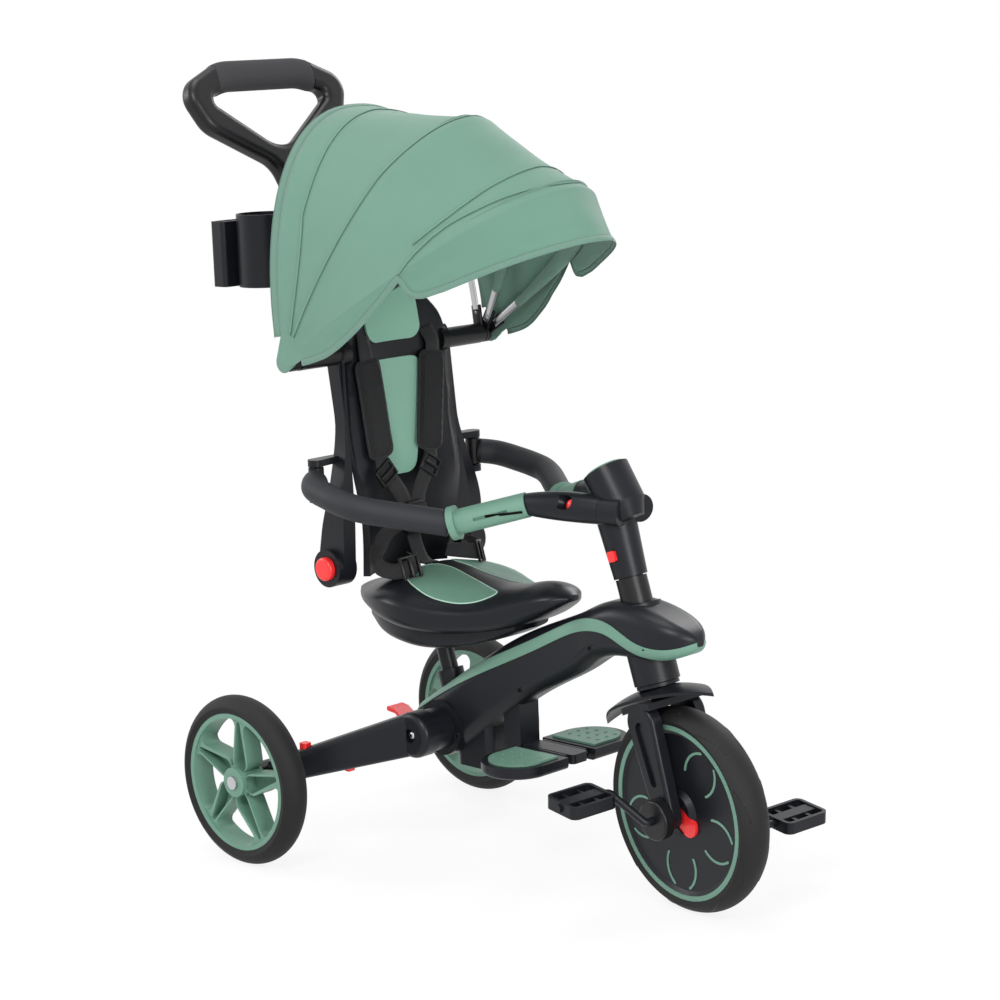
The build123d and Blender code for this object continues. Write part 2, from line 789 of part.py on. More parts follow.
# Rear arms, axles and wheels
arm_root = placed((fold_ahead - 8.0, arm_eye_width / 2 - arm_eye_outer + 1.0, fold_height - 1.0))
arm_tip = placed((16.0, -176.0, 115.0))
rear_axle_y = -half_track
boss_outer = half_track - rear_tyre_width / 2 - 3
hub_face = half_track + rear_tyre_width / 2
button_mid = placed((button_ahead, -button_y, 0.0))
with BuildPart() as rear_arm:
    cross_bar(fold_x, fold_height, -arm_eye_outer + arm_eye_width, -arm_eye_outer, arm_eye_radius)
    fillet(rear_arm.faces().sort_by(Axis.Y)[0].edges(), arm_eye_edge)
    run = arm_tip - arm_root
    side_dir = run.cross(Vector(0, 0, 1))
    with BuildSketch(Plane(origin=arm_root, x_dir=side_dir, z_dir=run)):
        RectangleRounded(arm_eye_width, arm_eye_height, arm_eye_edge)
    with BuildSketch(Plane(origin=arm_tip, x_dir=side_dir, z_dir=run)):
        RectangleRounded(arm_tip_width, arm_tip_height, arm_eye_edge)
    loft()
    cross_bar(fold_x, fold_height, -fold_boss_half - clear_gap, -arm_eye_outer + arm_eye_width - 1, arm_collar_radius)
    cross_bar(rear_axle_x, rear_wheel_radius, -boss_outer + arm_boss_length, -boss_outer, arm_boss_radius)
    cross_bar(fold_x, fold_height, -fold_boss_half, -arm_eye_outer + 8 - clear_gap, fold_pin_radius, Mode.SUBTRACT)
    cross_bar(fold_x, fold_height, -arm_eye_outer, -arm_eye_outer + 5, 9, Mode.SUBTRACT)
    cross_bar(rear_axle_x, rear_wheel_radius, -boss_outer + 24, -boss_outer, rear_axle_radius + seat_gap, Mode.SUBTRACT)
    with BuildSketch(Plane.XY.offset(button_floor)):
        with Locations((button_mid.X, button_mid.Y)):
            Rectangle(wheel_button_size + 2 * clear_gap, wheel_button_size + 2 * clear_gap)
    extrude(amount=40, mode=Mode.SUBTRACT)
save_pair(rear_arm, "rear_arm")

with BuildPart() as wheel_button:
    with BuildSketch(Plane.XY.offset(button_floor + button_travel + clear_gap)):
        with Locations((button_mid.X, button_mid.Y)):
            RectangleRounded(wheel_button_size, wheel_button_size, 2.5)
    extrude(amount=wheel_button_length)
save_pair(wheel_button, "wheel_button")

with BuildPart() as rear_axle:
    cross_bar(rear_axle_x, rear_wheel_radius, -boss_outer + 24, -hub_face - clear_gap, rear_axle_radius)
    cross_bar(rear_axle_x, rear_wheel_radius, -hub_face - clear_gap, -hub_face - clear_gap - 3, rear_axle_radius + 3.5)
save_pair(rear_axle, "rear_axle")

rear_centre = Vector(rear_axle_x, rear_axle_y, rear_wheel_radius)
rear_section = Plane(origin=rear_centre, x_dir=(1, 0, 0), z_dir=(0, 0, 1))
rear_side = Plane(origin=rear_centre, x_dir=(1, 0, 0), z_dir=(0, -1, 0))
rear_spin = Axis(rear_centre, (0, 1, 0))
save_pair(tyre(rear_section, rear_rim_radius + seat_gap, rear_wheel_radius, rear_tyre_width, rear_spin), "rear_tyre")



def spoke_face(reach, root, tip):
    """Outline of one leaning spoke that narrows from the hub to the rim."""
    with BuildSketch(mode=Mode.PRIVATE) as face:
        with Locations((rear_hub_radius + root - spoke_overlap, -spoke_lean)):
            Circle(root)
        with Locations((reach, spoke_lean)):
            Circle(tip)
        make_hull()
    return face.sketch


def spoke_windows(reach):
    """Openings between the spokes, with rounded corners."""
    with BuildSketch(mode=Mode.PRIVATE) as gaps:
        Circle(reach)
        Circle(rear_hub_radius + spoke_wall, mode=Mode.SUBTRACT)
        with PolarLocations(0, rear_spokes, start_angle=spoke_start):
            add(spoke_face(reach, spoke_root, spoke_tip), mode=Mode.SUBTRACT)
        corners = gaps.vertices().group_by(lambda corner: round(Vector(corner.X, corner.Y, 0).length, 1))
        fillet(corners[-1], spoke_round)
    return gaps.sketch


with BuildPart() as rear_rim:
    band = rear_rim_radius - rear_band_depth
    with BuildSketch(rear_side.offset(-rear_tyre_width / 2 + 3)):
        Circle(rear_rim_radius)
        Circle(band, mode=Mode.SUBTRACT)
    extrude(amount=rear_tyre_width - 6)
    with BuildSketch(rear_side.offset(-rear_tyre_width / 2)):
        Circle(rear_hub_radius)
    extrude(amount=rear_tyre_width)
    with BuildSketch(rear_side.offset(-spoke_depth / 2)):
        Circle(band + 1)
        Circle(rear_hub_radius, mode=Mode.SUBTRACT)
        add(spoke_windows(band), mode=Mode.SUBTRACT)
    extrude(amount=spoke_depth)
    with BuildSketch(rear_side.offset(spoke_depth / 2)):
        with PolarLocations(0, rear_spokes, start_angle=spoke_start):
            add(spoke_face(band - spoke_end_gap, spoke_root - spoke_wall, spoke_tip - spoke_wall))
    extrude(amount=spoke_floor - spoke_depth, mode=Mode.SUBTRACT)
    with BuildSketch(rear_side.offset(-rear_tyre_width / 2)):
        Circle(rear_axle_radius + running_fit)
    extrude(amount=rear_tyre_width, mode=Mode.SUBTRACT)
save_pair(rear_rim, "rear_rim")

# Brake pedal
with BuildPart() as brake_pedal:
    with BuildSketch(Plane.XZ):
        with Locations((brake_x, brake_height)):
            Circle(8)
        with BuildLine():
            FilletPolyline(
                (brake_x, brake_height + 5), (brake_x - 22, brake_height + 2), (brake_x - 40, brake_height + 14),
                (brake_x - brake_length, brake_height + 16), (brake_x - brake_length, brake_height + 10),
                (brake_x - 38, brake_height + 8), (brake_x - 24, brake_height - 6), (brake_x, brake_height - 6),
                radius=2, close=True,
            )
        make_face()
    extrude(amount=brake_half_width, both=True)
    cross_bar(brake_x, brake_height, -brake_half_width, brake_half_width, brake_pin_radius, Mode.SUBTRACT)
save(brake_pedal, "brake_pedal")

# Seat
pivot_x = ahead(pivot_ahead)


def seat_bowls(radius):
    """Scoop the two thigh hollows out of the seat that is being built."""
    for side in (1, -1):
        rear = placed((bowl_rear, side * bowl_y, bowl_floor + bowl_radius))
        front = placed((bowl_front, side * bowl_y, bowl_floor + bowl_radius))
        rod(rear, front, radius, Mode.SUBTRACT)
        with Locations(rear, front):
            Sphere(radius, mode=Mode.SUBTRACT)


with BuildPart() as seat_core:
    loft(section_faces(seat_sections, seat_corner))
    seat_bowls(bowl_radius)

with BuildPart() as seat_post:
    rod(on_post(post_foot_height + 8), on_post(post_head_height), post_radius)
    rod(on_post(post_foot_height + 8), on_post(post_head_height), post_radius - post_wall, Mode.SUBTRACT)
    add(seat_core.part, mode=Mode.SUBTRACT)
save(seat_post, "seat_post")

with BuildPart() as seat_shell:
    add(seat_core.part)
    for side in (1, -1):
        with BuildSketch(Plane.XZ.offset(side * trunnion_inner)):
            with Locations((pivot_x, pivot_height)):
                Circle(trunnion_radius)
            with Locations((ahead(98), 322)):
                Circle(20)
            with Locations((ahead(flank_ahead), flank_height)):
                Circle(flank_radius)
            make_hull()
        extrude(amount=side * (trunnion_outer - trunnion_inner))
        cross_bar(pivot_x, pivot_height, side * trunnion_inner, side * pivot_pin_outer, pivot_pin_radius - running_fit)
save(seat_shell, "seat_shell")

with BuildPart() as seat_pan:
    loft(section_faces(pan_sections, seat_corner))
    add(seat_core.part, mode=Mode.SUBTRACT)
    rod(on_post(post_foot_height), on_post(post_head_height + 20), post_radius + seat_gap, Mode.SUBTRACT)
save(seat_pan, "seat_pan")

with BuildPart() as seat_pads:
    loft(section_faces(seat_sections, seat_corner, seat_pad_proud))
    seat_bowls(bowl_radius - seat_pad_proud)
    with BuildSketch(Plane.XY.offset(bowl_floor - 20)):
        for side in (1, -1):
            with BuildLine():
                ThreePointArc((ahead(150), side * 44), (ahead(212), side * 82), (ahead(286), side * 28))
                ThreePointArc((ahead(286), side * 28), (ahead(214), side * 14), (ahead(150), side * 44))
            make_face()
    extrude(amount=80, mode=Mode.INTERSECT)
    add(seat_core.part, mode=Mode.SUBTRACT)
save(seat_pads, "seat_pads")

# Backrest
handle_up = Vector(-sin(radians(handle_tilt)), 0, cos(radians(handle_tilt)))
handle_neck = placed((neck_ahead, 0, neck_height))
hub_x = ahead(hub_ahead)


def on_handle(height):
    """Point of the push handle's axis at a height."""
    return handle_neck + handle_up * ((height - neck_height) / cos(radians(handle_tilt)))


def shell_faces(thickness, start=0.0):
    """Bowed sections of the backrest, one above the other, that start behind its back surface or inside it."""
    faces = []
    for height, back, half, reach in shell_sections:
        with BuildSketch(Plane.XY.offset(height)) as face:
            with BuildLine():
                tip = ahead(back + reach)
                inner = half - 0.6 * thickness
                ThreePointArc((tip + start, -half), (ahead(back + start), 0), (tip + start, half))
                Line((tip + start, half), (tip + 0.8 * thickness, inner))
                ThreePointArc((tip + 0.8 * thickness, inner), (ahead(back + thickness), 0), (tip + 0.8 * thickness, -inner))
                Line((tip + 0.8 * thickness, -inner), (tip + start, -half))
            make_face()
        faces.append(face.sketch)
    return faces


bar_tip = placed(bar_end)
bar_dir = (placed(bar_end) - placed(bar_neck)).normalized()
grip_tip = bar_tip + bar_dir * grip_flange_length
ring_start = grip_tip


def on_ring(point):
    """Point of the safety arm's centre line above a place of its plan."""
    return Vector(ahead(point[0]), point[1], ring_start.Z + (ring_start.X - ahead(point[0])) * ring_slope)


ring_plane_z = on_ring((ring_hinge_ahead, 0)).Z
with BuildPart() as shell_core:
    loft(shell_faces(shell_thickness))

with BuildPart() as backrest_shell:
    add(shell_core.part)
    arm_line = (
        (pivot_x, pivot_height, arm_end_radius), (ahead(97), 470, 17), (ahead(100), 560, 20), (ahead(84), 650, 17),
    )
    for side in (1, -1):
        for low, high in zip(arm_line, arm_line[1:]):
            with BuildSketch(Plane.XZ.offset(side * side_arm_inner)) as bar_face:
                with Locations(low[:2]):
                    Circle(low[2])
                with Locations(high[:2]):
                    Circle(high[2])
                make_hull()
            extrude(amount=side * (side_arm_outer - side_arm_inner))
        cross_bar(pivot_x, pivot_height, side * (trunnion_outer + clear_gap), side * arm_end_outer, arm_end_radius)
        hinge = Vector(ahead(ring_hinge_ahead), side * ring_hinge_y, ring_plane_z)
        knuckle = ring_knuckle_outer - ring_knuckle_half
        for low in (-ring_knuckle_outer, ring_knuckle_half):
            rod(hinge + Vector(0, 0, low), hinge + Vector(0, 0, low + knuckle), ring_barrel_radius)
            with BuildSketch(Plane.XY.offset(ring_plane_z + low)):
                with Locations((hinge.X, side * (ring_hinge_y + side_arm_inner) / 2)):
                    Rectangle(2 * ring_barrel_radius, ring_hinge_y - side_arm_inner)
            extrude(amount=knuckle)
        reach = Vector(0, 0, ring_knuckle_outer)
        rod(hinge - reach, hinge + reach, ring_pin_radius - running_fit)
    rod(on_handle(socket_low), on_handle(socket_high), socket_radius)
    with BuildSketch(Plane.XZ):
        with BuildLine():
            Polyline(
                (on_handle(socket_low).X, socket_low + 4), (ahead(82), socket_low + 10), (ahead(80), socket_high - 20),
                (on_handle(socket_high).X, socket_high - 8), close=True,
            )
        make_face()
    extrude(amount=6, both=True)
    for side in (1, -1):
        cross_bar(pivot_x, pivot_height, side * trunnion_outer, side * (pivot_pin_outer + 1), pivot_pin_radius, Mode.SUBTRACT)
        cross_bar(
            pivot_x, pivot_height, side * (recline_button_inner - recline_travel - clear_gap), side * (arm_end_outer + 1),
            recline_button_radius + clear_gap, Mode.SUBTRACT,
        )
    rod(on_handle(socket_low), on_handle(socket_high + 5), handle_tube_radius + running_fit, Mode.SUBTRACT)
save(backrest_shell, "backrest_shell")

with BuildPart() as back_panels:
    loft(shell_faces(shell_thickness + panel_proud, shell_thickness / 2))
    with BuildSketch(Plane.YZ.offset(ahead(40))):
        with Locations((0, (headrest_low + headrest_high) / 2)):
            RectangleRounded(2 * headrest_half, headrest_high - headrest_low, 18)
        with BuildLine():
            FilletPolyline(
                (-back_panel_half, back_panel_high), (back_panel_half, back_panel_high),
                (back_panel_foot, back_panel_low), (-back_panel_foot, back_panel_low),
                radius=16, close=True,
            )
        make_face()
    extrude(amount=100, mode=Mode.INTERSECT)
    add(shell_core.part, mode=Mode.SUBTRACT)
save(back_panels, "back_panels")

with BuildPart() as recline_button:
    cross_bar(pivot_x, pivot_height, -recline_button_inner, -recline_button_outer, recline_button_radius)
    fillet(recline_button.faces().sort_by(Axis.Y)[0].edges(), 4)
save_pair(recline_button, "recline_button")

# Safety arms, hinged on the backrest and meeting the grips
with BuildPart() as safety_arm:
    hinge = Vector(ahead(ring_hinge_ahead), -ring_hinge_y, ring_plane_z)
    ring_dir = (on_ring(ring_route[0]) - ring_start).normalized()
    ring_end = ring_start - ring_dir * ring_radius
    with BuildLine():
        FilletPolyline(ring_end, on_ring(ring_route[0]), on_ring(ring_route[1]), hinge, radius=ring_bends)
    with BuildSketch(Plane(origin=ring_end, z_dir=ring_dir)):
        Circle(ring_radius)
    sweep()
    half_barrel = Vector(0, 0, ring_knuckle_half - clear_gap)
    rod(hinge - half_barrel, hinge + half_barrel, ring_barrel_radius)
    rod(hinge - half_barrel, hinge + half_barrel, ring_pin_radius, Mode.SUBTRACT)
    rod(grip_tip - bar_dir * 60, grip_tip + bar_dir * ring_gap, 40, Mode.SUBTRACT)
save_pair(safety_arm, "safety_arm")

# Stem and handlebar
pod_dir = Vector(-sin(radians(pod_tilt)), 0, cos(radians(pod_tilt)))
pod_centre = placed(pod_top)
pod_plane = Plane(origin=pod_centre, x_dir=(0, 1, 0), z_dir=pod_dir)
bar_start = placed(bar_root)
bar_bend = placed(bar_elbow)
bar_waist = placed(bar_neck)
seam_dir = (bar_bend - bar_start).normalized()
with BuildPart() as stem_body:
    with BuildSketch(steering.offset(stem_low_up)):
        Circle(stem_low_radius)
    with BuildSketch(steering.offset(stem_high_up)):
        Circle(stem_high_radius)
    loft()
    with BuildSketch(pod_plane):
        Circle(pod_radius)
    extrude(amount=-pod_length)
    with BuildSketch(pod_plane.offset(-pod_length)):
        Circle(pod_radius)
    with BuildSketch(pod_plane.offset(-pod_length - pod_base_length)):
        Circle(pod_base_radius)
    loft()
    for start in (bar_start, flipped(bar_start)):
        heading = seam_dir if start.Y < 0 else flipped(seam_dir)
        rod(start - heading * 26, start - heading * clear_gap, bar_root_radius)
    with BuildSketch(pod_plane):
        Circle(cap_radius + seat_gap)
    extrude(amount=-cap_depth, mode=Mode.SUBTRACT)
    rod(along_steering(stem_low_up - 1), along_steering(stem_low_up + 18), head_bore, Mode.SUBTRACT)
    rod(along_steering(stem_tube_low_up), along_steering(stem_low_up + 18), head_bore - running_fit)
    rod(along_steering(stem_tube_low_up), along_steering(stem_low_up + 10), head_bore - stem_tube_wall, Mode.SUBTRACT)
    for side in (1, -1):
        button_plane = Plane(origin=along_steering(stem_button_up) + Vector(0, side * 18.0, 0), x_dir=steering.x_dir, z_dir=(0, side, 0))
        with BuildSketch(button_plane.offset(-button_travel)):
            Rectangle(stem_button_size + 2 * clear_gap, stem_button_height + 2 * clear_gap)
        extrude(amount=20, mode=Mode.SUBTRACT)
save(stem_body, "stem_body")

with BuildPart() as stem_cap:
    with BuildSketch(pod_plane.offset(-cap_depth)):
        Circle(cap_radius)
    extrude(amount=cap_depth + 3)
    fillet(stem_cap.faces().sort_by(Axis(pod_centre, pod_dir))[-1].edges(), 2.5)
save(stem_cap, "stem_cap")

with BuildPart() as stem_button:
    right_plane = Plane(origin=along_steering(stem_button_up) + Vector(0, -18.0, 0), x_dir=steering.x_dir, z_dir=(0, -1, 0))
    with BuildSketch(right_plane):
        RectangleRounded(stem_button_size, stem_button_height, 2.5)
    extrude(amount=7.5)
save_pair(stem_button, "stem_button")

button_face = bar_start + seam_dir * 26
press_dir = (Vector(0.55, 0.75, -0.35)).normalized()
with BuildPart() as handlebar:
    with BuildSketch(Plane(origin=bar_start, z_dir=seam_dir)):
        Circle(bar_root_radius)
    with BuildSketch(Plane(origin=bar_bend, z_dir=(bar_waist - bar_start).normalized())):
        Circle(bar_elbow_radius)
    with BuildSketch(Plane(origin=bar_waist, z_dir=bar_dir)):
        Circle(bar_neck_radius)
    loft()
    rod(bar_waist, bar_tip, bar_core_radius)
    add(stem_body.part, mode=Mode.SUBTRACT)
    rod(button_face - press_dir * 2, button_face - press_dir * 30, bar_button_radius + clear_gap, Mode.SUBTRACT)
save(with_twin(handlebar), "handlebar_arms")

with BuildPart() as bar_button:
    face_at = button_face - press_dir * (2 + button_travel + clear_gap)
    rod(face_at, face_at - press_dir * bar_button_length, bar_button_radius)
save_pair(bar_button, "bar_button")

with BuildPart() as grip:
    rod(bar_waist + bar_dir * clear_gap, bar_tip, grip_radius)
    rod(bar_tip, grip_tip, grip_flange_radius)
    rod(bar_waist, bar_tip, bar_core_radius + seat_gap, Mode.SUBTRACT)
    grip_mid = bar_waist + (bar_tip - bar_waist) * 0.5
    across = bar_dir.cross(Vector(0, 0, 1))
    slot_plane = Plane(origin=grip_mid, x_dir=bar_dir, z_dir=-across if across.Y > 0 else across)
    with BuildSketch(slot_plane.offset(bar_core_radius + 1)):
        SlotOverall(grip_slot_length, grip_slot_width)
    extrude(amount=10, mode=Mode.SUBTRACT)
save(with_twin(grip), "grips")

# Push handle
loop_plane = Plane(origin=handle_neck, x_dir=(0, 1, 0), z_dir=Vector(0, 1, 0).cross(handle_up))


def bent(corners):
    """Closed outline through corners, each rounded by its bend."""
    with BuildLine(mode=Mode.PRIVATE) as outline:
        FilletPolyline(*[corner[:2] for corner in corners], radius=[corner[2] for corner in corners], close=True)
    return outline.wire()


def loop_face():
    """Outline of the moulded handle: a rounded loop that narrows to a neck, with its hand hole."""
    left_loop = [(-x, height, bend) for x, height, bend in reversed(loop_corners)]
    left_hole = [(-x, height, bend) for x, height, bend in reversed(hole_corners)]
    with BuildSketch(mode=Mode.PRIVATE) as face:
        make_face(bent((*loop_corners, *left_loop)).edges())
        make_face(bent((*hole_corners, hole_floor, *left_hole)).edges(), mode=Mode.SUBTRACT)
    return face.sketch


def handle_loop(depth, edge, grow=0.0):
    """Rounded moulding of the handle's outline, grown by a skin."""
    with BuildPart() as moulding:
        with BuildSketch(loop_plane.offset(-depth / 2)):
            add(loop_face())
            if grow:
                offset(amount=grow)
        extrude(amount=depth)
        ends = moulding.faces().sort_by(Axis(handle_neck, loop_plane.z_dir))
        fillet(ends[0].edges() + ends[-1].edges(), edge)
    return moulding.part


with BuildPart() as grip_zone:
    with BuildSketch(loop_plane.offset(-loop_depth)):
        with Locations((0, handle_grip_low + loop_top / 2)):
            Rectangle(2 * handle_grip_half, loop_top)
    extrude(amount=2 * loop_depth)


def grip_core(radius):
    """Round core of the top bar, along the arc halfway between its edges."""
    bar_height = (loop_top + hole_top) / 2
    end_half = handle_grip_half + 6
    with BuildPart() as core:
        with BuildLine(loop_plane):
            arc = ThreePointArc((-end_half, bar_height - grip_core_sag), (0, bar_height), (end_half, bar_height - grip_core_sag))
        with BuildSketch(Plane(origin=arc @ 0, z_dir=arc % 0)):
            Circle(radius)
        sweep()
    return core.part


with BuildPart() as push_handle:
    add(handle_loop(loop_depth, loop_edge))
    add(grip_zone.part, mode=Mode.SUBTRACT)
    add(grip_core(grip_core_radius))
    rod(handle_neck - handle_up * handle_tube_foot, handle_neck - handle_up * 30, handle_tube_radius)
save(push_handle, "push_handle")

with BuildPart() as handle_grip:
    add(handle_loop(loop_depth + 2 * grip_proud, loop_edge + grip_proud, grip_proud))
    add(grip_zone.part, mode=Mode.INTERSECT)
    add(grip_core(grip_core_radius + seat_gap), mode=Mode.SUBTRACT)
save(handle_grip, "handle_grip")

cup_centre = placed((cup_ahead, cup_y, cup_low))
with BuildPart() as cup_holder:
    with BuildSketch(Plane.XY.offset(cup_low)):
        with Locations((cup_centre.X, cup_centre.Y)):
            Circle(cup_radius)
    extrude(amount=cup_high - cup_low)
    with BuildSketch(Plane.XY.offset(cup_low)):
        with Locations((cup_centre.X - cup_radius - phone_slot[0] / 2 + 4, cup_centre.Y - 12)):
            RectangleRounded(phone_slot[0], phone_slot[1], 6)
    extrude(amount=phone_slot[2])
    clamp_mid = on_handle((cup_low + cup_high) / 2)
    rod(clamp_mid - handle_up * 16, clamp_mid + handle_up * 16, handle_tube_radius + 5)
    with BuildSketch(Plane.XY.offset(clamp_mid.Z - 10)):
        with BuildLine():
            Polyline(
                (clamp_mid.X - 11, clamp_mid.Y), (clamp_mid.X + 11, clamp_mid.Y),
                (cup_centre.X + 16, cup_centre.Y), (cup_centre.X - 16, cup_centre.Y), close=True,
            )
        make_face()
    extrude(amount=20)
    with BuildSketch(Plane.XY.offset(cup_low + cup_wall)):
        with Locations((cup_centre.X, cup_centre.Y)):
            Circle(cup_radius - cup_wall)
        with Locations((cup_centre.X - cup_radius - phone_slot[0] / 2 + 4 - 1, cup_centre.Y - 12)):
            RectangleRounded(phone_slot[0] - 2 * cup_wall - 6, phone_slot[1] - 2 * cup_wall, 4)
    extrude(amount=cup_high, mode=Mode.SUBTRACT)
    rod(clamp_mid - handle_up * 40, clamp_mid + handle_up * 40, handle_tube_radius + seat_gap, Mode.SUBTRACT)
save(cup_holder, "cup_holder")

# Canopy: hub posts, bows and cloth
with BuildPart() as canopy_post:
    cross_bar(hub_x, hub_height, -side_arm_outer, -hub_post_outer, hub_post_radius)
    cross_bar(hub_x, hub_height, -hub_post_outer, -hub_pin_outer, hub_pin_radius)
save(with_twin(canopy_post), "canopy_posts")


def bow_plane(angle):
    """Plane through the hub axis whose Y points up a bow at an angle above the horizontal."""
    direction = Vector(cos(radians(angle)), 0, sin(radians(angle)))
    return Plane(origin=(hub_x, 0, hub_height), x_dir=(0, 1, 0), z_dir=Vector(0, 1, 0).cross(direction))


def arch(half, height, foot, squareness=arch_squareness, steps=12):
    """Points of a squared ellipse that springs from a foot on each side of the hub axis."""
    start = asin(min(1.0, (foot / height) ** (squareness / 2)))
    points = []
    for step in range(steps + 1):
        turn = start + (pi - 2 * start) * step / steps
        across = abs(cos(turn)) ** (2 / squareness)
        points.append((-half * across if turn < pi / 2 else half * across, height * sin(turn) ** (2 / squareness)))
    return points


def bow(angle, height, layer):
    """Arched rod on two hub plates, counted outwards in layers from the hub post."""
    plane = bow_plane(angle)
    inner = hub_post_outer + clear_gap + layer * (bracket_thickness + bracket_gap)
    half = inner + bracket_thickness / 2
    with BuildPart() as piece:
        with BuildLine(plane):
            route = Spline(*arch(half, height, bracket_radius - bow_radius))
        with BuildSketch(Plane(origin=route @ 0, z_dir=route % 0)):
            Circle(bow_radius)
        sweep()
        for side in (1, -1):
            cross_bar(hub_x, hub_height, side * inner, side * (inner + bracket_thickness), bracket_radius)
            cross_bar(
                hub_x, hub_height, side * inner, side * (inner + bracket_thickness), hub_pin_radius + running_fit, Mode.SUBTRACT,
            )
    return piece


save(bow(rear_bow_angle, rear_bow_height, 0), "canopy_bow_rear")
save(bow(mid_bow_angle, mid_bow_height, 1), "canopy_bow_mid")
save(bow(front_bow_angle, front_bow_height, 2), "canopy_bow_front")

cloth_ribs = (
    (rear_bow_angle, rear_bow_height, cloth_half, arch_squareness),
    (mid_bow_angle, mid_bow_height, cloth_half, arch_squareness),
    (front_bow_angle, front_bow_height, cloth_half, arch_squareness),
    (visor_fold_angle, visor_fold_height, cloth_half - 4, visor_squareness + 0.15),
    (visor_angle, visor_height, cloth_half - 9, visor_squareness),
)


def cloth_faces(skin):
    """Closed arch sections of the cloth, grown outwards by a skin."""
    faces = []
    for angle, height, half, squareness in cloth_ribs:
        with BuildSketch(bow_plane(angle)) as face:
            with BuildLine():
                points = arch(half + skin, height + cloth_gap + skin, cloth_foot, squareness)
                Spline(*points)
                Line(points[0], points[-1])
            make_face()
        faces.append(face.sketch)
    return faces


with BuildPart() as canopy_cloth:
    loft(cloth_faces(cloth_thickness), ruled=True)
    loft(cloth_faces(0), ruled=True, mode=Mode.SUBTRACT)
    with BuildSketch(Plane.XZ):
        with BuildLine():
            edge = [(ahead(x), z) for x, z in cloth_edge]
            ThreePointArc(edge[0], edge[1], edge[2])
            Polyline(edge[2], (edge[2][0], edge[0][1]), edge[0])
        make_face()
    extrude(amount=2 * cloth_half, both=True, mode=Mode.SUBTRACT)
save(canopy_cloth, "canopy_cloth")

# Harness
with BuildPart() as harness_pad:
    pad_dir = Vector(cos(radians(harness_turn)), sin(radians(harness_turn)), 0)
    pad_at = placed((harness_front, -harness_pad_y, (harness_pad_low + harness_pad_high) / 2))
    with BuildSketch(Plane(origin=pad_at, x_dir=Vector(0, 0, 1).cross(pad_dir), z_dir=pad_dir)):
        RectangleRounded(harness_pad_width, harness_pad_high - harness_pad_low, 8)
    extrude(amount=harness_pad_thickness)
    fillet(harness_pad.faces().sort_by(Axis(pad_at, pad_dir))[-1].edges(), 3)
save(with_twin(harness_pad), "harness_pads")

with BuildPart() as harness_straps:
    strap_x = ahead(harness_front + 3)
    for side in (1, -1):
        with BuildSketch(Plane.YZ.offset(strap_x)):
            with BuildLine():
                Polyline(
                    (side * (harness_pad_y - strap_width / 2), harness_pad_low - clear_gap),
                    (side * (harness_pad_y + strap_width / 2), harness_pad_low - clear_gap),
                    (side * strap_width, buckle_height), (side * 2, buckle_height), close=True,
                )
            make_face()
        extrude(amount=strap_thickness)
    with BuildSketch(Plane.YZ.offset(strap_x)):
        with Locations((0, buckle_height - buckle_size / 4)):
            RectangleRounded(buckle_size, buckle_size, 10)
    extrude(amount=12)
save(harness_straps, "harness_straps")
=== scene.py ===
"""Looks of the folding tricycle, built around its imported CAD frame.

Lengths are in metres, with X forward, Y to the rider's left and Z up. Places in
millimetres are counted ahead of the rear axle, and spot() turns them into the
frame. The CAD nodes keep their shapes and get finishes. The soft goods, the
saddle, the backrest's form and the small fittings are modelled here.
"""
import json
import logging
import math
from dataclasses import dataclass, field
from enum import Enum
from typing import Sequence

import bmesh
import bpy
from mathutils import Matrix, Vector, noise
from mathutils.bvhtree import BVHTree

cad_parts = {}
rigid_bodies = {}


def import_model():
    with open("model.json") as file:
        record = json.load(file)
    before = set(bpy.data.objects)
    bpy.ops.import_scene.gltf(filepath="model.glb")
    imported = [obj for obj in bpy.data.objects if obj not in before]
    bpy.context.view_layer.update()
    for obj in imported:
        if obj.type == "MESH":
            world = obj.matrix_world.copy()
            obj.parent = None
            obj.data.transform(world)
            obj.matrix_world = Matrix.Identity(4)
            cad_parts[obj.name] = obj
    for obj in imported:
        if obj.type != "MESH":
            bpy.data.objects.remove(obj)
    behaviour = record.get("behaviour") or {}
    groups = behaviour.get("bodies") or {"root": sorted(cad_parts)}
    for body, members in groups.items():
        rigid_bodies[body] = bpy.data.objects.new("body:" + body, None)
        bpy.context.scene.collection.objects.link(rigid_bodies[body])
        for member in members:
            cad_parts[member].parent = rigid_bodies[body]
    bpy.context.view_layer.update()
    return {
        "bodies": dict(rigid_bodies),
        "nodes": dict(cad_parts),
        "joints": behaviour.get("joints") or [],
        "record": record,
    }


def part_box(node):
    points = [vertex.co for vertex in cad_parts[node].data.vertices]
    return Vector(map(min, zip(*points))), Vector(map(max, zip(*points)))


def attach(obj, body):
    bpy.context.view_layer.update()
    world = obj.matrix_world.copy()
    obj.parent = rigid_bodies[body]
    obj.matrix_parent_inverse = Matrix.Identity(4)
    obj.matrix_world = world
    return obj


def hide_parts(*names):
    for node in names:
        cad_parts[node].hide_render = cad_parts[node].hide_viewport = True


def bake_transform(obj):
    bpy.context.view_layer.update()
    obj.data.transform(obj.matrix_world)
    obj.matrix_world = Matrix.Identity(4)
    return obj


log = logging.getLogger("tricycle")
PER_METRE = 1000.0
# The frame's origin ahead of the rear axle, and the canopy's hub ahead and up, in millimetres
REAR_AXLE = 262.0
HUB = (82.0, 648.0)
TINY = 1e-6
SHARP = math.radians(35.0)
CLOTH_FRAMES = 20
FRONT = Vector((1.0, 0.0, 0.0))
UP = Vector((0.0, 0.0, 1.0))

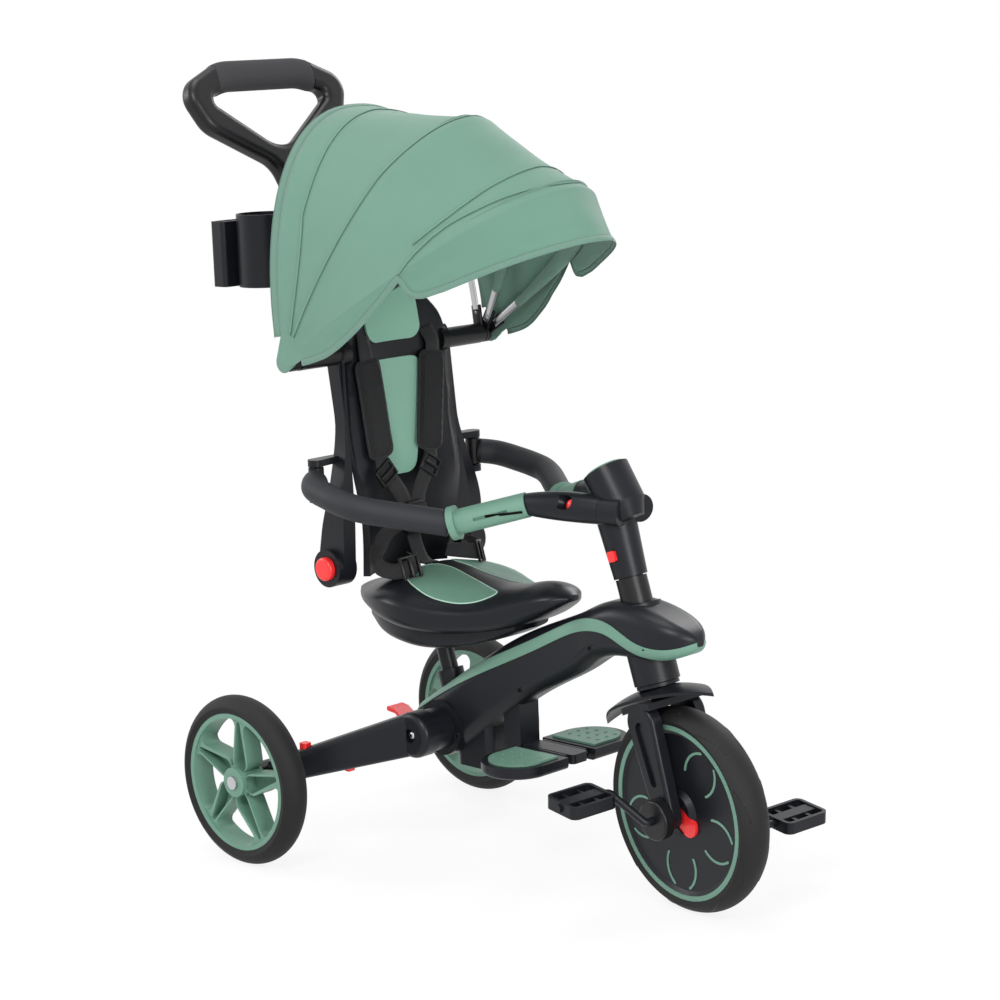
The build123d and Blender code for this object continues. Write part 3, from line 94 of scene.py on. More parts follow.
Pair = tuple[float, float]
Triple = tuple[float, float, float]
Line = Sequence[Pair]
Section = tuple[float, float, float, float]
Frame = tuple[Vector, Vector, Vector, Vector]
Tree = bpy.types.NodeTree
Socket = bpy.types.NodeSocket
Material = bpy.types.Material
Piece = bpy.types.Object
Mesh = bmesh.types.BMesh


class Body(str, Enum):
    """Bodies of the frame that carry new pieces."""

    FRAME = "frame"
    FRONT_WHEEL = "front_wheel"
    REAR_ARM_RIGHT = "rear_arm_right"
    REAR_ARM_LEFT = "rear_arm_left"
    SEAT = "seat"
    BACKREST = "backrest"
    CANOPY_MID = "canopy_mid"
    CANOPY_FRONT = "canopy_front"
    PUSH_HANDLE = "push_handle"
    HANDLEBAR = "handlebar"
    BAR_BUTTON_RIGHT = "bar_button_right"
    BAR_BUTTON_LEFT = "bar_button_left"
    SAFETY_ARM_RIGHT = "safety_arm_right"
    SAFETY_ARM_LEFT = "safety_arm_left"


class Side(Enum):
    """Sides of the tricycle, with the sign that Y has there."""

    RIGHT = -1
    LEFT = 1

    @property
    def label(self) -> str:
        """Word for the side in the names of pieces."""
        return self.name.lower()

    @property
    def out(self) -> Vector:
        """Direction away from the middle."""
        return Vector((0.0, self.value, 0.0))

    def body(self, stem: str) -> Body:
        """Find the body of a pair that is on this side."""
        return Body(f"{stem}_{self.label}")

    def mirrored(self, places: Sequence[Sequence[float]]) -> list[Vector]:
        """Turn directions, given for the left side, to this side."""
        return [Vector((x, self.value * y, z)) for x, y, z in places]


class Pattern(Enum):
    """Surface patterns that a finish may carry."""

    MOULDED = "moulded"
    WOVEN = "woven"
    FOAM = "foam"
    BRUSHED = "brushed"


@dataclass(frozen=True)
class Finish:
    """One finish: its colours and how its surface breaks up the light."""

    name: str
    colour: Triple
    shade: Triple
    pattern: Pattern
    roughness: float
    scale: float
    depth: float
    metallic: float = 0.0
    coat: float = 0.0
    sheen: float = 0.0
    gloss: float = 0.5


BLACK = Finish(
    "black_moulding", (0.0056, 0.0062, 0.0088), (0.0092, 0.0099, 0.0132),
    Pattern.MOULDED, 0.27, 900.0, 0.00012, gloss=0.24,
)
BLACK_SMOOTH = Finish(
    "black_smooth", (0.0042, 0.0042, 0.0052), (0.0070, 0.0070, 0.0082),
    Pattern.MOULDED, 0.27, 500.0, 0.00005, gloss=0.30,
)
GREEN = Finish(
    "green_moulding", (0.136, 0.268, 0.204), (0.116, 0.236, 0.178),
    Pattern.MOULDED, 0.40, 900.0, 0.00008, gloss=0.4,
)
RED = Finish(
    "red_moulding", (0.84, 0.020, 0.020), (0.72, 0.014, 0.015),
    Pattern.MOULDED, 0.30, 700.0, 0.00004, coat=0.25,
)
TYRE = Finish(
    "foam_tyre", (0.0050, 0.0050, 0.0056), (0.0087, 0.0087, 0.0094),
    Pattern.FOAM, 0.58, 1100.0, 0.00018, gloss=0.3,
)
FOAM = Finish(
    "grip_foam", (0.0150, 0.0158, 0.0192), (0.0215, 0.0224, 0.0268),
    Pattern.FOAM, 0.52, 1000.0, 0.00022, gloss=0.3,
)
GREY_FOAM = Finish(
    "handle_foam", (0.030, 0.030, 0.034), (0.048, 0.048, 0.052),
    Pattern.FOAM, 0.80, 900.0, 0.0003, gloss=0.25,
)
STEEL = Finish(
    "bright_steel", (0.60, 0.60, 0.61), (0.48, 0.48, 0.50),
    Pattern.BRUSHED, 0.28, 300.0, 0.00003, metallic=1.0,
)
CLOTH = Finish(
    "canopy_cloth", (0.138, 0.260, 0.204), (0.105, 0.214, 0.164),
    Pattern.WOVEN, 0.74, 4400.0, 0.00016, sheen=0.2, gloss=0.2,
)
HEM = Finish(
    "canopy_hem", (0.140, 0.246, 0.198), (0.106, 0.203, 0.159),
    Pattern.WOVEN, 0.76, 4400.0, 0.00016, sheen=0.2, gloss=0.2,
)
PAD_CLOTH = Finish(
    "pad_cloth", (0.0085, 0.0085, 0.0095), (0.0190, 0.0190, 0.0205),
    Pattern.WOVEN, 0.78, 3300.0, 0.0003, sheen=0.12, gloss=0.2,
)
WEBBING = Finish(
    "black_webbing", (0.0100, 0.0100, 0.0108), (0.0260, 0.0260, 0.0280),
    Pattern.WOVEN, 0.70, 2600.0, 0.0004, sheen=0.1, gloss=0.25,
)
THREAD = Finish(
    "green_thread", (0.072, 0.150, 0.115), (0.056, 0.125, 0.094),
    Pattern.FOAM, 0.70, 1500.0, 0.0001, gloss=0.2,
)
# Lighter copy of the green moulding for the back panels: painted light where the canopy shades them
PANEL_PAINTED_LIGHT = Finish(
    "green_panel_painted_light", (0.230, 0.430, 0.333), (0.205, 0.392, 0.300),
    Pattern.MOULDED, 0.42, 900.0, 0.00008, gloss=0.4,
)
# Pale green of the thigh pads' edge lines: painted highlight where the edge catches light
PAINTED_HIGHLIGHT = Finish(
    "pad_edge_painted_highlight", (0.42, 0.62, 0.52), (0.38, 0.57, 0.47),
    Pattern.MOULDED, 0.42, 900.0, 0.00004, gloss=0.4,
)
DARK_THREAD = Finish(
    "dark_thread", (0.020, 0.020, 0.022), (0.034, 0.034, 0.037),
    Pattern.FOAM, 0.70, 1500.0, 0.0001, gloss=0.2,
)
# Deeper black for port pits, screw crosses and grip slots: painted shade inside recesses
PAINTED_SHADE = Finish(
    "painted_hollow_shade", (0.0022, 0.0022, 0.0026), (0.0034, 0.0034, 0.0038),
    Pattern.MOULDED, 0.75, 900.0, 0.0001, gloss=0.1,
)


def math_node(tree: Tree, operation: str, *values: Socket | float) -> Socket:
    """Add a Math node.

    Args:
        tree: Tree that gets the node.
        operation: What the node works out.
        values: Sockets or plain numbers for its inputs, in order.

    Returns:
        Socket with the result.
    """
    node = tree.nodes.new("ShaderNodeMath")
    node.operation = operation
    for slot, value in zip(node.inputs, values):
        if isinstance(value, Socket):
            tree.links.new(value, slot)
        else:
            slot.default_value = value
    return node.outputs[0]


def set_inputs(node: bpy.types.Node, **values: float | Sequence[float]) -> None:
    """Set plain values on a node's inputs, with underscores for the spaces in their names."""
    for name, value in values.items():
        node.inputs[name.replace("_", " ")].default_value = value


class FinishShop:
    """Builds each finish once, from node groups that the materials share."""

    INPUTS = (
        ("Vector", "NodeSocketVector"), ("Colour", "NodeSocketColor"), ("Shade", "NodeSocketColor"),
        ("Scale", "NodeSocketFloat"), ("Roughness", "NodeSocketFloat"),
    )
    OUTPUTS = (
        ("Colour", "NodeSocketColor"), ("Roughness", "NodeSocketFloat"),
        ("Height", "NodeSocketFloat"),
    )
    BROAD_SCALE, BROAD_DETAIL = 9.0, 3.0
    GRAIN_DETAIL, BRUSH_DETAIL = 2.0, 3.0
    BRUSH_SQUEEZE = (1.0, 6.0, 1.0)
    FINE_SHARE = 0.35
    ROUGHNESS_SPREAD = 0.16
    BUMP_STRENGTH = 0.6

    def __init__(self) -> None:
        """Start with no materials and no groups."""
        self.materials: dict[str, Material] = {}
        self.groups: dict[Pattern, Tree] = {}

    def group(self, pattern: Pattern) -> Tree:
        """Find or build the node group of a pattern.

        Args:
            pattern: Surface pattern that the group draws.

        Returns:
            Node group with colours, roughness and height as outputs.
        """
        if pattern in self.groups:
            return self.groups[pattern]
        tree = bpy.data.node_groups.new(f"{pattern.value}_surface", "ShaderNodeTree")
        for name, kind in self.INPUTS:
            tree.interface.new_socket(name=name, in_out="INPUT", socket_type=kind)
        for name, kind in self.OUTPUTS:
            tree.interface.new_socket(name=name, in_out="OUTPUT", socket_type=kind)
        entry = tree.nodes.new("NodeGroupInput")
        leave = tree.nodes.new("NodeGroupOutput")
        place, scale = entry.outputs["Vector"], entry.outputs["Scale"]
        broad = self._noise(tree, place, self.BROAD_SCALE, self.BROAD_DETAIL)
        fine = self._fine(tree, pattern, place, scale)
        tone = tree.nodes.new("ShaderNodeMix")
        tone.inputs["Factor"].default_value = self.FINE_SHARE
        tree.links.new(broad, tone.inputs["A"])
        tree.links.new(fine, tone.inputs["B"])
        blend = tree.nodes.new("ShaderNodeMix")
        blend.data_type = "RGBA"
        tree.links.new(tone.outputs["Result"], blend.inputs["Factor"])
        tree.links.new(entry.outputs["Colour"], blend.inputs["A"])
        tree.links.new(entry.outputs["Shade"], blend.inputs["B"])
        spread = math_node(
            tree, "MULTIPLY_ADD", broad, self.ROUGHNESS_SPREAD, entry.outputs["Roughness"],
        )
        tree.links.new(blend.outputs["Result"], leave.inputs["Colour"])
        tree.links.new(spread, leave.inputs["Roughness"])
        tree.links.new(fine, leave.inputs["Height"])
        self.groups[pattern] = tree
        return tree

    @staticmethod
    def _noise(tree: Tree, place: Socket, scale: Socket | float, detail: float) -> Socket:
        """Noise over the surface.

        Args:
            tree: Group being built.
            place: Socket with the place on the surface.
            scale: Scale of the noise.
            detail: Octaves of the noise.

        Returns:
            Socket with a value from 0 to 1.
        """
        node = tree.nodes.new("ShaderNodeTexNoise")
        node.inputs["Detail"].default_value = detail
        tree.links.new(place, node.inputs["Vector"])
        if isinstance(scale, Socket):
            tree.links.new(scale, node.inputs["Scale"])
        else:
            node.inputs["Scale"].default_value = scale
        return node.outputs["Fac"]

    def _fine(self, tree: Tree, pattern: Pattern, place: Socket, scale: Socket) -> Socket:
        """Fine pattern of a surface: grain, pores, drawn lines or crossed threads.

        Args:
            tree: Group being built.
            pattern: Surface pattern that the group draws.
            place: Socket with the place on the surface, or on the flat cloth.
            scale: Socket with the scale of the pattern.

        Returns:
            Socket with the pattern's height.
        """
        if pattern is Pattern.MOULDED:
            return self._noise(tree, place, scale, self.GRAIN_DETAIL)
        if pattern is Pattern.FOAM:
            pores = tree.nodes.new("ShaderNodeTexVoronoi")
            tree.links.new(place, pores.inputs["Vector"])
            tree.links.new(scale, pores.inputs["Scale"])
            return pores.outputs["Distance"]
        if pattern is Pattern.BRUSHED:
            squeeze = tree.nodes.new("ShaderNodeVectorMath")
            squeeze.operation = "MULTIPLY"
            squeeze.inputs[1].default_value = self.BRUSH_SQUEEZE
            tree.links.new(place, squeeze.inputs[0])
            return self._noise(tree, squeeze.outputs[0], scale, self.BRUSH_DETAIL)
        split = tree.nodes.new("ShaderNodeSeparateXYZ")
        tree.links.new(place, split.inputs[0])
        threads = [
            math_node(tree, "SINE", math_node(tree, "MULTIPLY", split.outputs[axis], scale))
            for axis in ("X", "Y")
        ]
        return math_node(tree, "MULTIPLY_ADD", math_node(tree, "MULTIPLY", *threads), 0.5, 0.5)

    def material(self, finish: Finish) -> Material:
        """Find or build the material of a finish.

        Args:
            finish: Finish to build.

        Returns:
            Material with a Principled shader.
        """
        if finish.name in self.materials:
            return self.materials[finish.name]
        material = bpy.data.materials.new(finish.name)
        material.use_nodes = True
        tree = material.node_tree
        shader = tree.nodes["Principled BSDF"]
        set_inputs(
            shader, Metallic=finish.metallic, Coat_Weight=finish.coat, Sheen_Weight=finish.sheen,
            Specular_IOR_Level=finish.gloss,
        )
        place = tree.nodes.new("ShaderNodeTexCoord")
        surface = tree.nodes.new("ShaderNodeGroup")
        surface.node_tree = self.group(finish.pattern)
        set_inputs(
            surface, Colour=(*finish.colour, 1.0), Shade=(*finish.shade, 1.0),
            Scale=finish.scale, Roughness=finish.roughness,
        )
        source = "UV" if finish.pattern is Pattern.WOVEN else "Object"
        tree.links.new(place.outputs[source], surface.inputs["Vector"])
        bump = tree.nodes.new("ShaderNodeBump")
        set_inputs(bump, Distance=finish.depth, Strength=self.BUMP_STRENGTH)
        tree.links.new(surface.outputs["Height"], bump.inputs["Height"])
        tree.links.new(surface.outputs["Colour"], shader.inputs["Base Color"])
        tree.links.new(surface.outputs["Roughness"], shader.inputs["Roughness"])
        tree.links.new(bump.outputs["Normal"], shader.inputs["Normal"])
        self.materials[finish.name] = material
        return material


SHOP = FinishShop()


def spot(distance: float, across: float, height: float) -> Vector:
    """Turn a place in millimetres, counted ahead of the rear axle, into the frame."""
    return Vector([size / PER_METRE for size in (distance - REAR_AXLE, across, height)])


def axes(first: Vector, second: Vector, third: Vector, place: Vector) -> Matrix:
    """Set three directions and a place into one matrix."""
    return Matrix.Translation(place) @ Matrix((first, second, third)).transposed().to_4x4()


def bell(value: float, middle: float, spread: float) -> float:
    """Read a bell curve that is 1 at its middle."""
    return math.exp(-(((value - middle) / spread) ** 2))


def ramp(value: float, low: float, high: float) -> float:
    """Tell how far a value is from low to high, as a share from 0 to 1."""
    return min(max((value - low) / (high - low), 0.0), 1.0)


def turns(sides: int) -> list[float]:
    """Space angles evenly round a ring, from the top."""
    return [math.pi / 2 + math.tau * step / sides for step in range(sides)]


def power(value: float, exponent: float) -> float:
    """Raise a value to a power and keep its sign."""
    return math.copysign(abs(value) ** exponent, value)


def make_piece(name: str, mesh: Mesh, finish: Finish | None, smooth: bool = True) -> Piece:
    """Turn a bmesh into an object at the origin.

    Args:
        name: Name of the piece.
        mesh: Finished bmesh; it is freed.
        finish: Finish of the piece, or nothing where it gets its material later.
        smooth: Whether its faces are shaded smooth.

    Returns:
        The new object, linked to the scene.
    """
    data = bpy.data.meshes.new(name)
    mesh.to_mesh(data)
    mesh.free()
    if finish:
        data.materials.append(SHOP.material(finish))
    if smooth:
        data.shade_smooth()
    piece = bpy.data.objects.new(name, data)
    bpy.context.collection.objects.link(piece)
    return piece


def loft(rings: Sequence[Sequence[Vector]], first: bool = True, last: bool = True) -> Mesh:
    """Bridge closed rings of points, one after the other.

    Args:
        rings: Rings with the same number of points each.
        first: Whether the first ring is filled.
        last: Whether the last ring is filled.

    Returns:
        Mesh with its faces turned outwards.
    """
    mesh = bmesh.new()
    loops = []
    for ring in rings:
        made = bmesh.ops.create_circle(mesh, segments=len(ring), radius=1.0)
        for vert, point in zip(made["verts"], ring):
            vert.co = point
        loops.append(list({edge for vert in made["verts"] for edge in vert.link_edges}))
    for low, high in zip(loops, loops[1:]):
        bmesh.ops.bridge_loops(mesh, edges=low + high)
    ends = (loops[0] if first else []) + (loops[-1] if last else [])
    if ends:
        bmesh.ops.holes_fill(mesh, edges=ends, sides=len(rings[0]))
    bmesh.ops.recalc_face_normals(mesh, faces=mesh.faces)
    return mesh


def tube(
    name: str, points: Sequence[Vector], radius: float | Sequence[float], finish: Finish,
    sides: int, caps: bool = True,
) -> Piece:
    """Round tube along a smooth row of points.

    Args:
        name: Name of the piece.
        points: Centre line.
        radius: Radius of the tube, or its radius at each point.
        finish: Finish of the piece.
        sides: Flats round the tube.
        caps: Whether the ends are closed.

    Returns:
        Mesh object of the tube.
    """
    radii = [radius] * len(points) if isinstance(radius, float) else radius
    normal = (points[1] - points[0]).normalized().orthogonal().normalized()
    rings = []
    for index, (point, reach) in enumerate(zip(points, radii)):
        after, before = points[min(index + 1, len(points) - 1)], points[max(index - 1, 0)]
        run = (after - before).normalized()
        normal = (normal - run * normal.dot(run)).normalized()
        side = run.cross(normal)
        rings.append([
            point + (normal * math.cos(turn) + side * math.sin(turn)) * reach
            for turn in turns(sides)
        ])
    return make_piece(name, loft(rings, caps, caps), finish)


def smooth_path(points: Sequence[Vector], steps: int) -> list[Vector]:
    """Resample a row of points along a Catmull-Rom curve.

    Args:
        points: Points that the curve passes through.
        steps: Samples for each stretch between two points.

    Returns:
        Points on the curve.
    """
    padded = [points[0] * 2 - points[1], *points, points[-1] * 2 - points[-2]]
    path = []
    for index in range(1, len(padded) - 2):
        before, start, end, after = padded[index - 1:index + 3]
        square = 2 * before - 5 * start + 4 * end - after
        cube = 3 * start - before - 3 * end + after
        for step in range(steps):
            t = step / steps
            path.append(0.5 * (2 * start + (end - before) * t + square * t ** 2 + cube * t ** 3))
    path.append(points[-1])
    return path


class Skin:
    """Surface of one node or piece, for setting other pieces on it."""

    def __init__(self, node: Piece) -> None:
        """Keep the node's faces for rays."""
        faces = [face.vertices[:] for face in node.data.polygons]
        self.tree = BVHTree.FromPolygons([vert.co for vert in node.data.vertices], faces)

    def hit(self, start: Vector, run: Vector) -> tuple[Vector, Vector]:
        """Find where a ray meets the surface.

        Args:
            start: Where the ray starts.
            run: Its direction.

        Returns:
            Point and the normal that faces the ray; the start where nothing is met.
        """
        place, normal, _, _ = self.tree.ray_cast(start, run.normalized())
        if place is None:
            return start.copy(), -run.normalized()
        if normal.dot(run) > 0:
            normal.negate()
        return place, normal


def give_uv(mesh: Mesh, places: dict[bmesh.types.BMVert, Pair]) -> None:
    """Write a UV map in metres, for the weave.

    Args:
        mesh: Mesh that gets the map.
        places: Place of each vertex on the flat cloth.
    """
    layer = mesh.loops.layers.uv.verify()
    for face in mesh.faces:
        for loop in face.loops:
            loop[layer].uv = places[loop.vert]


def thicken(mesh: Mesh, thickness: float) -> None:
    """Give an open sheet a second face and closed edges.

    Args:
        mesh: Sheet that becomes a thin solid.
        thickness: Distance from face to face.
    """
    bmesh.ops.recalc_face_normals(mesh, faces=mesh.faces)
    layer = mesh.verts.layers.float_vector.new("outward")
    mesh.normal_update()
    for vert in mesh.verts:
        vert[layer] = vert.normal
    made = bmesh.ops.extrude_face_region(mesh, geom=mesh.faces[:], use_keep_orig=True)
    for item in made["geom"]:
        if isinstance(item, bmesh.types.BMVert):
            item.co -= item[layer] * thickness
    mesh.verts.layers.float_vector.remove(layer)
    bmesh.ops.recalc_face_normals(mesh, faces=mesh.faces)


def ribbon(name: str, rows: Sequence[Sequence[Vector]], finish: Finish, thickness: float) -> Piece:
    """Strip of cloth, webbing or steel through rows of points across it.

    Args:
        name: Name of the piece.
        rows: For each station along the strip, its points from edge to edge.
        finish: Finish of the piece.
        thickness: Thickness of the strip.

    Returns:
        Mesh object of the strip.
    """
    mesh = bmesh.new()
    count, width = len(rows), len(rows[0])
    bmesh.ops.create_grid(mesh, x_segments=count - 1, y_segments=width - 1, size=0.5)
    run = [0.0]
    for before, after in zip(rows, rows[1:]):
        run.append(run[-1] + (after[width // 2] - before[width // 2]).length)
    places = {}
    for vert in mesh.verts:
        station = round((vert.co.x + 0.5) * (count - 1))
        step = round((vert.co.y + 0.5) * (width - 1))
        places[vert] = (run[station], (rows[0][step] - rows[0][0]).length)
        vert.co = rows[station][step]
    give_uv(mesh, places)
    thicken(mesh, thickness)
    return make_piece(name, mesh, finish)


def dashes(
    name: str, stations: Sequence[tuple[Vector, Vector, Vector]], finish: Finish,
    length: float, width: float,
) -> Piece:
    """Row of stitches, or of other short bars.

    Args:
        name: Name of the piece.
        stations: For each bar its place, its direction and the surface's normal.
        finish: Finish of the bars.
        length: Length of a bar.
        width: Width and height of a bar.

    Returns:
        Mesh object of the whole row.
    """
    mesh = bmesh.new()
    for place, run, normal in stations:
        side = normal.cross(run).normalized() * width
        frame = axes(run.normalized() * length, side, normal.normalized() * width, place)
        bmesh.ops.create_cube(mesh, size=1.0, matrix=frame)
    return make_piece(name, mesh, finish, smooth=False)


def spaced(points: Sequence[Vector], pitch: float) -> list[tuple[int, Vector]]:
    """Space stitches evenly along a row of points.

    Args:
        points: Points of the line.
        pitch: Length from stitch to stitch.

    Returns:
        For each stitch the number of its stretch and its place.
    """
    found, gone = [], 0.0
    for index, (start, end) in enumerate(zip(points, points[1:])):
        length = (end - start).length
        while gone < length:
            found.append((index, start.lerp(end, gone / length)))
            gone += pitch
        gone -= length
    return found


def round_edges(
    mesh: Mesh, edges: Sequence[bmesh.types.BMEdge], offset: float, segments: int,
) -> None:
    """Round edges of a mesh.

    Args:
        mesh: Mesh that the edges belong to.
        edges: Edges to round.
        offset: How far the rounding reaches.
        segments: Steps of the rounding.
    """
    bmesh.ops.bevel(
        mesh, geom=edges, offset=offset, segments=segments, profile=0.5, affect="EDGES", material=-1,
    )


def blocks(name: str, frames: Sequence[Matrix], offset: float, finish: Finish) -> Piece:
    """Piece of one or more blocks with rounded edges.

    Args:
        name: Name of the piece.
        frames: Place and size of each block.
        offset: How far the rounding reaches.
        finish: Finish of the piece.

    Returns:
        Mesh object of the blocks.
    """
    mesh = bmesh.new()
    for frame in frames:
        bmesh.ops.create_cube(mesh, size=1.0, matrix=frame)
    round_edges(mesh, mesh.edges[:], offset, 2)
    return make_piece(name, mesh, finish)


def turned(
    name: str, profile: Line, place: Vector, axis: Vector, finish: Finish, steps: int = 32,
) -> Piece:
    """Round piece spun from half of its section.

    Args:
        name: Name of the piece.
        profile: Points of the section as radius and height along the axis.
        place: Where the axis starts.
        axis: Direction of the axis.
        finish: Finish of the piece.
        steps: Steps of the spin.

    Returns:
        Mesh object of the turned piece.
    """
    mesh = bmesh.new()
    verts = [mesh.verts.new((radius, 0.0, height)) for radius, height in profile]
    edges = [mesh.edges.new(pair) for pair in zip(verts, verts[1:])]
    bmesh.ops.spin(
        mesh, geom=verts + edges, cent=(0.0, 0.0, 0.0), axis=UP, angle=math.tau,
        steps=steps, use_merge=True, use_duplicate=False,
    )
    bmesh.ops.remove_doubles(mesh, verts=mesh.verts, dist=TINY)
    bmesh.ops.recalc_face_normals(mesh, faces=mesh.faces)
    frame = axis.normalized().to_track_quat("Z", "Y").to_matrix().to_4x4()
    frame.translation = place
    bmesh.ops.transform(mesh, matrix=frame, verts=mesh.verts)
    piece = make_piece(name, mesh, finish)
    piece.data.set_sharp_from_angle(angle=SHARP)
    return piece


def inflate(piece: Piece, pressure: float, cap: float) -> None:
    """Swell a sewn cover with Blender's cloth, and keep the result in its mesh.

    Args:
        piece: Closed mesh that swells.
        pressure: Pressure inside it.
        cap: Furthest that a point may move.
    """
    scene = bpy.context.scene
    starts = [vert.co.copy() for vert in piece.data.vertices]
    cloth = piece.modifiers.new("stuffing", "CLOTH")
    cloth.settings.use_pressure = True
    cloth.settings.uniform_pressure_force = pressure
    cloth.settings.effector_weights.gravity = 0.0
    for frame in range(1, CLOTH_FRAMES + 1):
        scene.frame_set(frame)
    shown = piece.evaluated_get(bpy.context.evaluated_depsgraph_get())
    ends = [vert.co.copy() for vert in shown.data.vertices]
    piece.modifiers.remove(cloth)
    scene.frame_set(1)
    for vert, start, end in zip(piece.data.vertices, starts, ends):
        shift = end - start
        vert.co = start + shift * min(1.0, cap / max(shift.length, TINY))


@dataclass
class Assembly:
    """One sub-assembly, with the pieces that it hangs on the frame."""

    pieces: list[Piece] = field(default_factory=list)

    def keep(self, *pieces: Piece) -> None:
        """Keep finished pieces and report each one."""
        for piece in pieces:
            self.pieces.append(piece)
            log.info("%s: made %s", type(self).__name__, piece.name)

    def hang(self, body: Body, *pieces: Piece) -> None:
        """Let pieces ride on a body, and keep them."""
        for piece in pieces:
            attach(piece, body.value)
        self.keep(*pieces)


@dataclass(frozen=True)
class Wave:
    """Noise that ruffles cloth: its depth and its scale along each axis."""

    depth: float
    scale: Triple

    def at(self, point: Vector) -> float:
        """Read the wave at a point."""
        return self.depth * noise.noise(Vector(self.scale) * point)


@dataclass(frozen=True)
class Rib:
    """One arch of the canopy, in millimetres and degrees about the hub."""

    angle: float
    height: float
    half: float
    squareness: float
    foot: float = 32.0

    def point(self, share: float) -> Vector:
        """Find a point of the arch.

        Args:
            share: Share of the way from the right foot to the left foot.

        Returns:
            Point in the frame.
        """
        start = math.asin((self.foot / self.height) ** (self.squareness / 2))
        turn = start + (math.pi - 2 * start) * share
        reach = self.height * math.sin(turn) ** (2 / self.squareness)
        across = -self.half * power(math.cos(turn), 2 / self.squareness)
        angle = math.radians(self.angle)
        return spot(HUB[0] + reach * math.cos(angle), across, HUB[1] + reach * math.sin(angle))

    def flat(self) -> Vector:
        """Direction across a strip that lies under the arch."""
        angle = math.radians(self.angle)
        return Vector((-math.sin(angle), 0.0, math.cos(angle)))


@dataclass
class Canopy(Assembly):
    """Sewn cloth hood over three steel strips, with a peaked visor and stitched hems."""

    ribs: tuple[Rib, ...] = (
        Rib(97.0, 306.3, 180.4, 2.3), Rib(60.54, 334.0, 180.4, 1.85),
        Rib(32.43, 388.6, 180.4, 1.93), Rib(24.83, 394.0, 180.4, 1.75),
        Rib(16.83, 410.0, 180.4, 1.69),
    )
    # Share along the arch and the rib count there, for the front edge and for each seam
    front_edge: Line = (
        (0.0, 5.0), (0.0386, 4.53), (0.0677, 3.74), (0.0916, 3.22), (0.1135, 2.78), (0.1364, 2.42),
        (0.160, 2.094), (0.1661, 2.043), (0.1706, 2.206), (0.1747, 2.808), (0.1795, 3.0),
        (0.188, 3.126), (0.2157, 3.196), (0.2903, 3.203), (0.3862, 3.247), (0.5, 3.30),
    )
    seams: tuple[Line, ...] = (
        (
            (0.0, 0.717), (0.0407, 0.58), (0.1767, 0.289), (0.3171, 0.221), (0.4552, 0.172),
            (0.5, 0.14),
        ),
        ((0.0, 0.957), (0.2705, 0.89), (0.5, 0.985)),
        ((0.215, 1.76), (0.36, 1.70), (0.5, 1.68)),
        (
            (0.1683, 1.997), (0.1863, 1.927), (0.205, 1.877), (0.2403, 1.826), (0.274, 1.814),
            (0.3517, 1.856), (0.4707, 1.935), (0.5, 1.94),
        ),
    )
    # Rows of the sheet up to this rib count stand still; the others reach to the front edge
    fixed: float = 1.98
    front_count: float = 4.0
    edge_ease: float = 0.0012
    # Step of the cloth's directions, and a point under the hood ahead of and above the hub
    probe: float = 0.004
    inside: float = 60.0
    # The visor's corner: its share along the arch, its spread, and how much closer stations stand
    corner: Triple = (0.171, 0.014, 7.0)
    corner_samples: int = 2000
    # Distance of each strip's feet from the middle, its body and the CAD node it stands for
    strips: tuple[tuple[float, Body, str], ...] = (
        (160.65, Body.BACKREST, "canopy_bow_rear"), (165.95, Body.CANOPY_MID, "canopy_bow_mid"),
        (171.25, Body.CANOPY_FRONT, "canopy_bow_front"),
    )
    arch_steps: int = 120
    strip_drop: float = 6.0
    strip_foot: float = 16.0
    strip_half: float = 0.0048
    strip_thickness: float = 0.0018
    # How far a pocket lies below and inside its rib, in millimetres
    pocket_drop: Pair = (9.0, 3.0)
    pocket_end: float = 0.055
    pocket_foot: float = 0.48
    pocket_flare: float = 4.5
    pocket_reach: float = 0.45
    pocket_waist: float = 0.4
    # Half the pocket's width at its seams, its waist and the strip
    pocket_widths: Triple = (0.0125, 0.0095, 0.0056)
    rear_share: float = 0.5
    ear_columns: int = 7
    ear_radius: float = 13.0
    ear_across: float = 181.0
    ear_turn: Pair = (170.0, 32.0)
    sag: tuple[float, ...] = (0.005, 0.006, 0.0, 0.001)
    inward_share: float = 0.4
    ripple: Wave = Wave(0.0026, (16.0, 7.0, 16.0))
    crease: Wave = Wave(0.0015, (42.0, 11.0, 34.0))
    crease_place: Pair = (0.13, 0.10)
    thickness: float = 0.0012
    flat_step: Pair = (0.11, 0.8)
    rows: int = 84
    columns: int = 230
    line_steps: int = 190
    # Places across a hem or a seam, and their heights above the cloth's face
    front_hem: tuple[float, ...] = (-0.0003, 0.003, 0.0066, 0.0070)
    rear_hem: tuple[float, ...] = (0.0003, -0.005, -0.010, -0.0104)
    hem_lifts: tuple[float, ...] = (-0.0003, 0.0004, 0.0004, -0.0003)
    hem_thickness: float = 0.0006
    seam_width: tuple[float, ...] = (-0.0004, 0.0001, 0.0022, 0.0026)
    seam_lifts: tuple[float, ...] = (-0.0003, 0.0004, 0.0003, -0.0003)
    seam_thickness: float = 0.0004
    seam_start: float = 0.004
    # Distance of each row of stitches from its line
    front_stitch: float = 0.0058
    rear_stitch: float = -0.0090
    seam_stitch: float = 0.0034
    stitch_pitch: float = 0.0042
    stitch_share: float = 0.72
    stitch_lift: float = 0.0004
    thread_width: float = 0.0005

    @staticmethod
    def read(line: Line, share: float) -> float:
        """Read a line of the hood, which is the same on both sides.

        Args:
            line: Shares along the arch, each with its rib count.
            share: Share of the way along the arch.

        Returns:
            Rib count there.
        """
        place = max(min(share, 1.0 - share), line[0][0])
        for (low, first), (high, second) in zip(line, line[1:]):
            if place <= high:
                return first + (second - first) * (place - low) / (high - low)
        return line[-1][1]

    def edge(self, share: float) -> float:
        """Find the front edge, eased round its corners, counted in ribs."""
        steps = (-self.edge_ease, 0.0, self.edge_ease)
        return sum(self.read(self.front_edge, share + step) for step in steps) / len(steps)

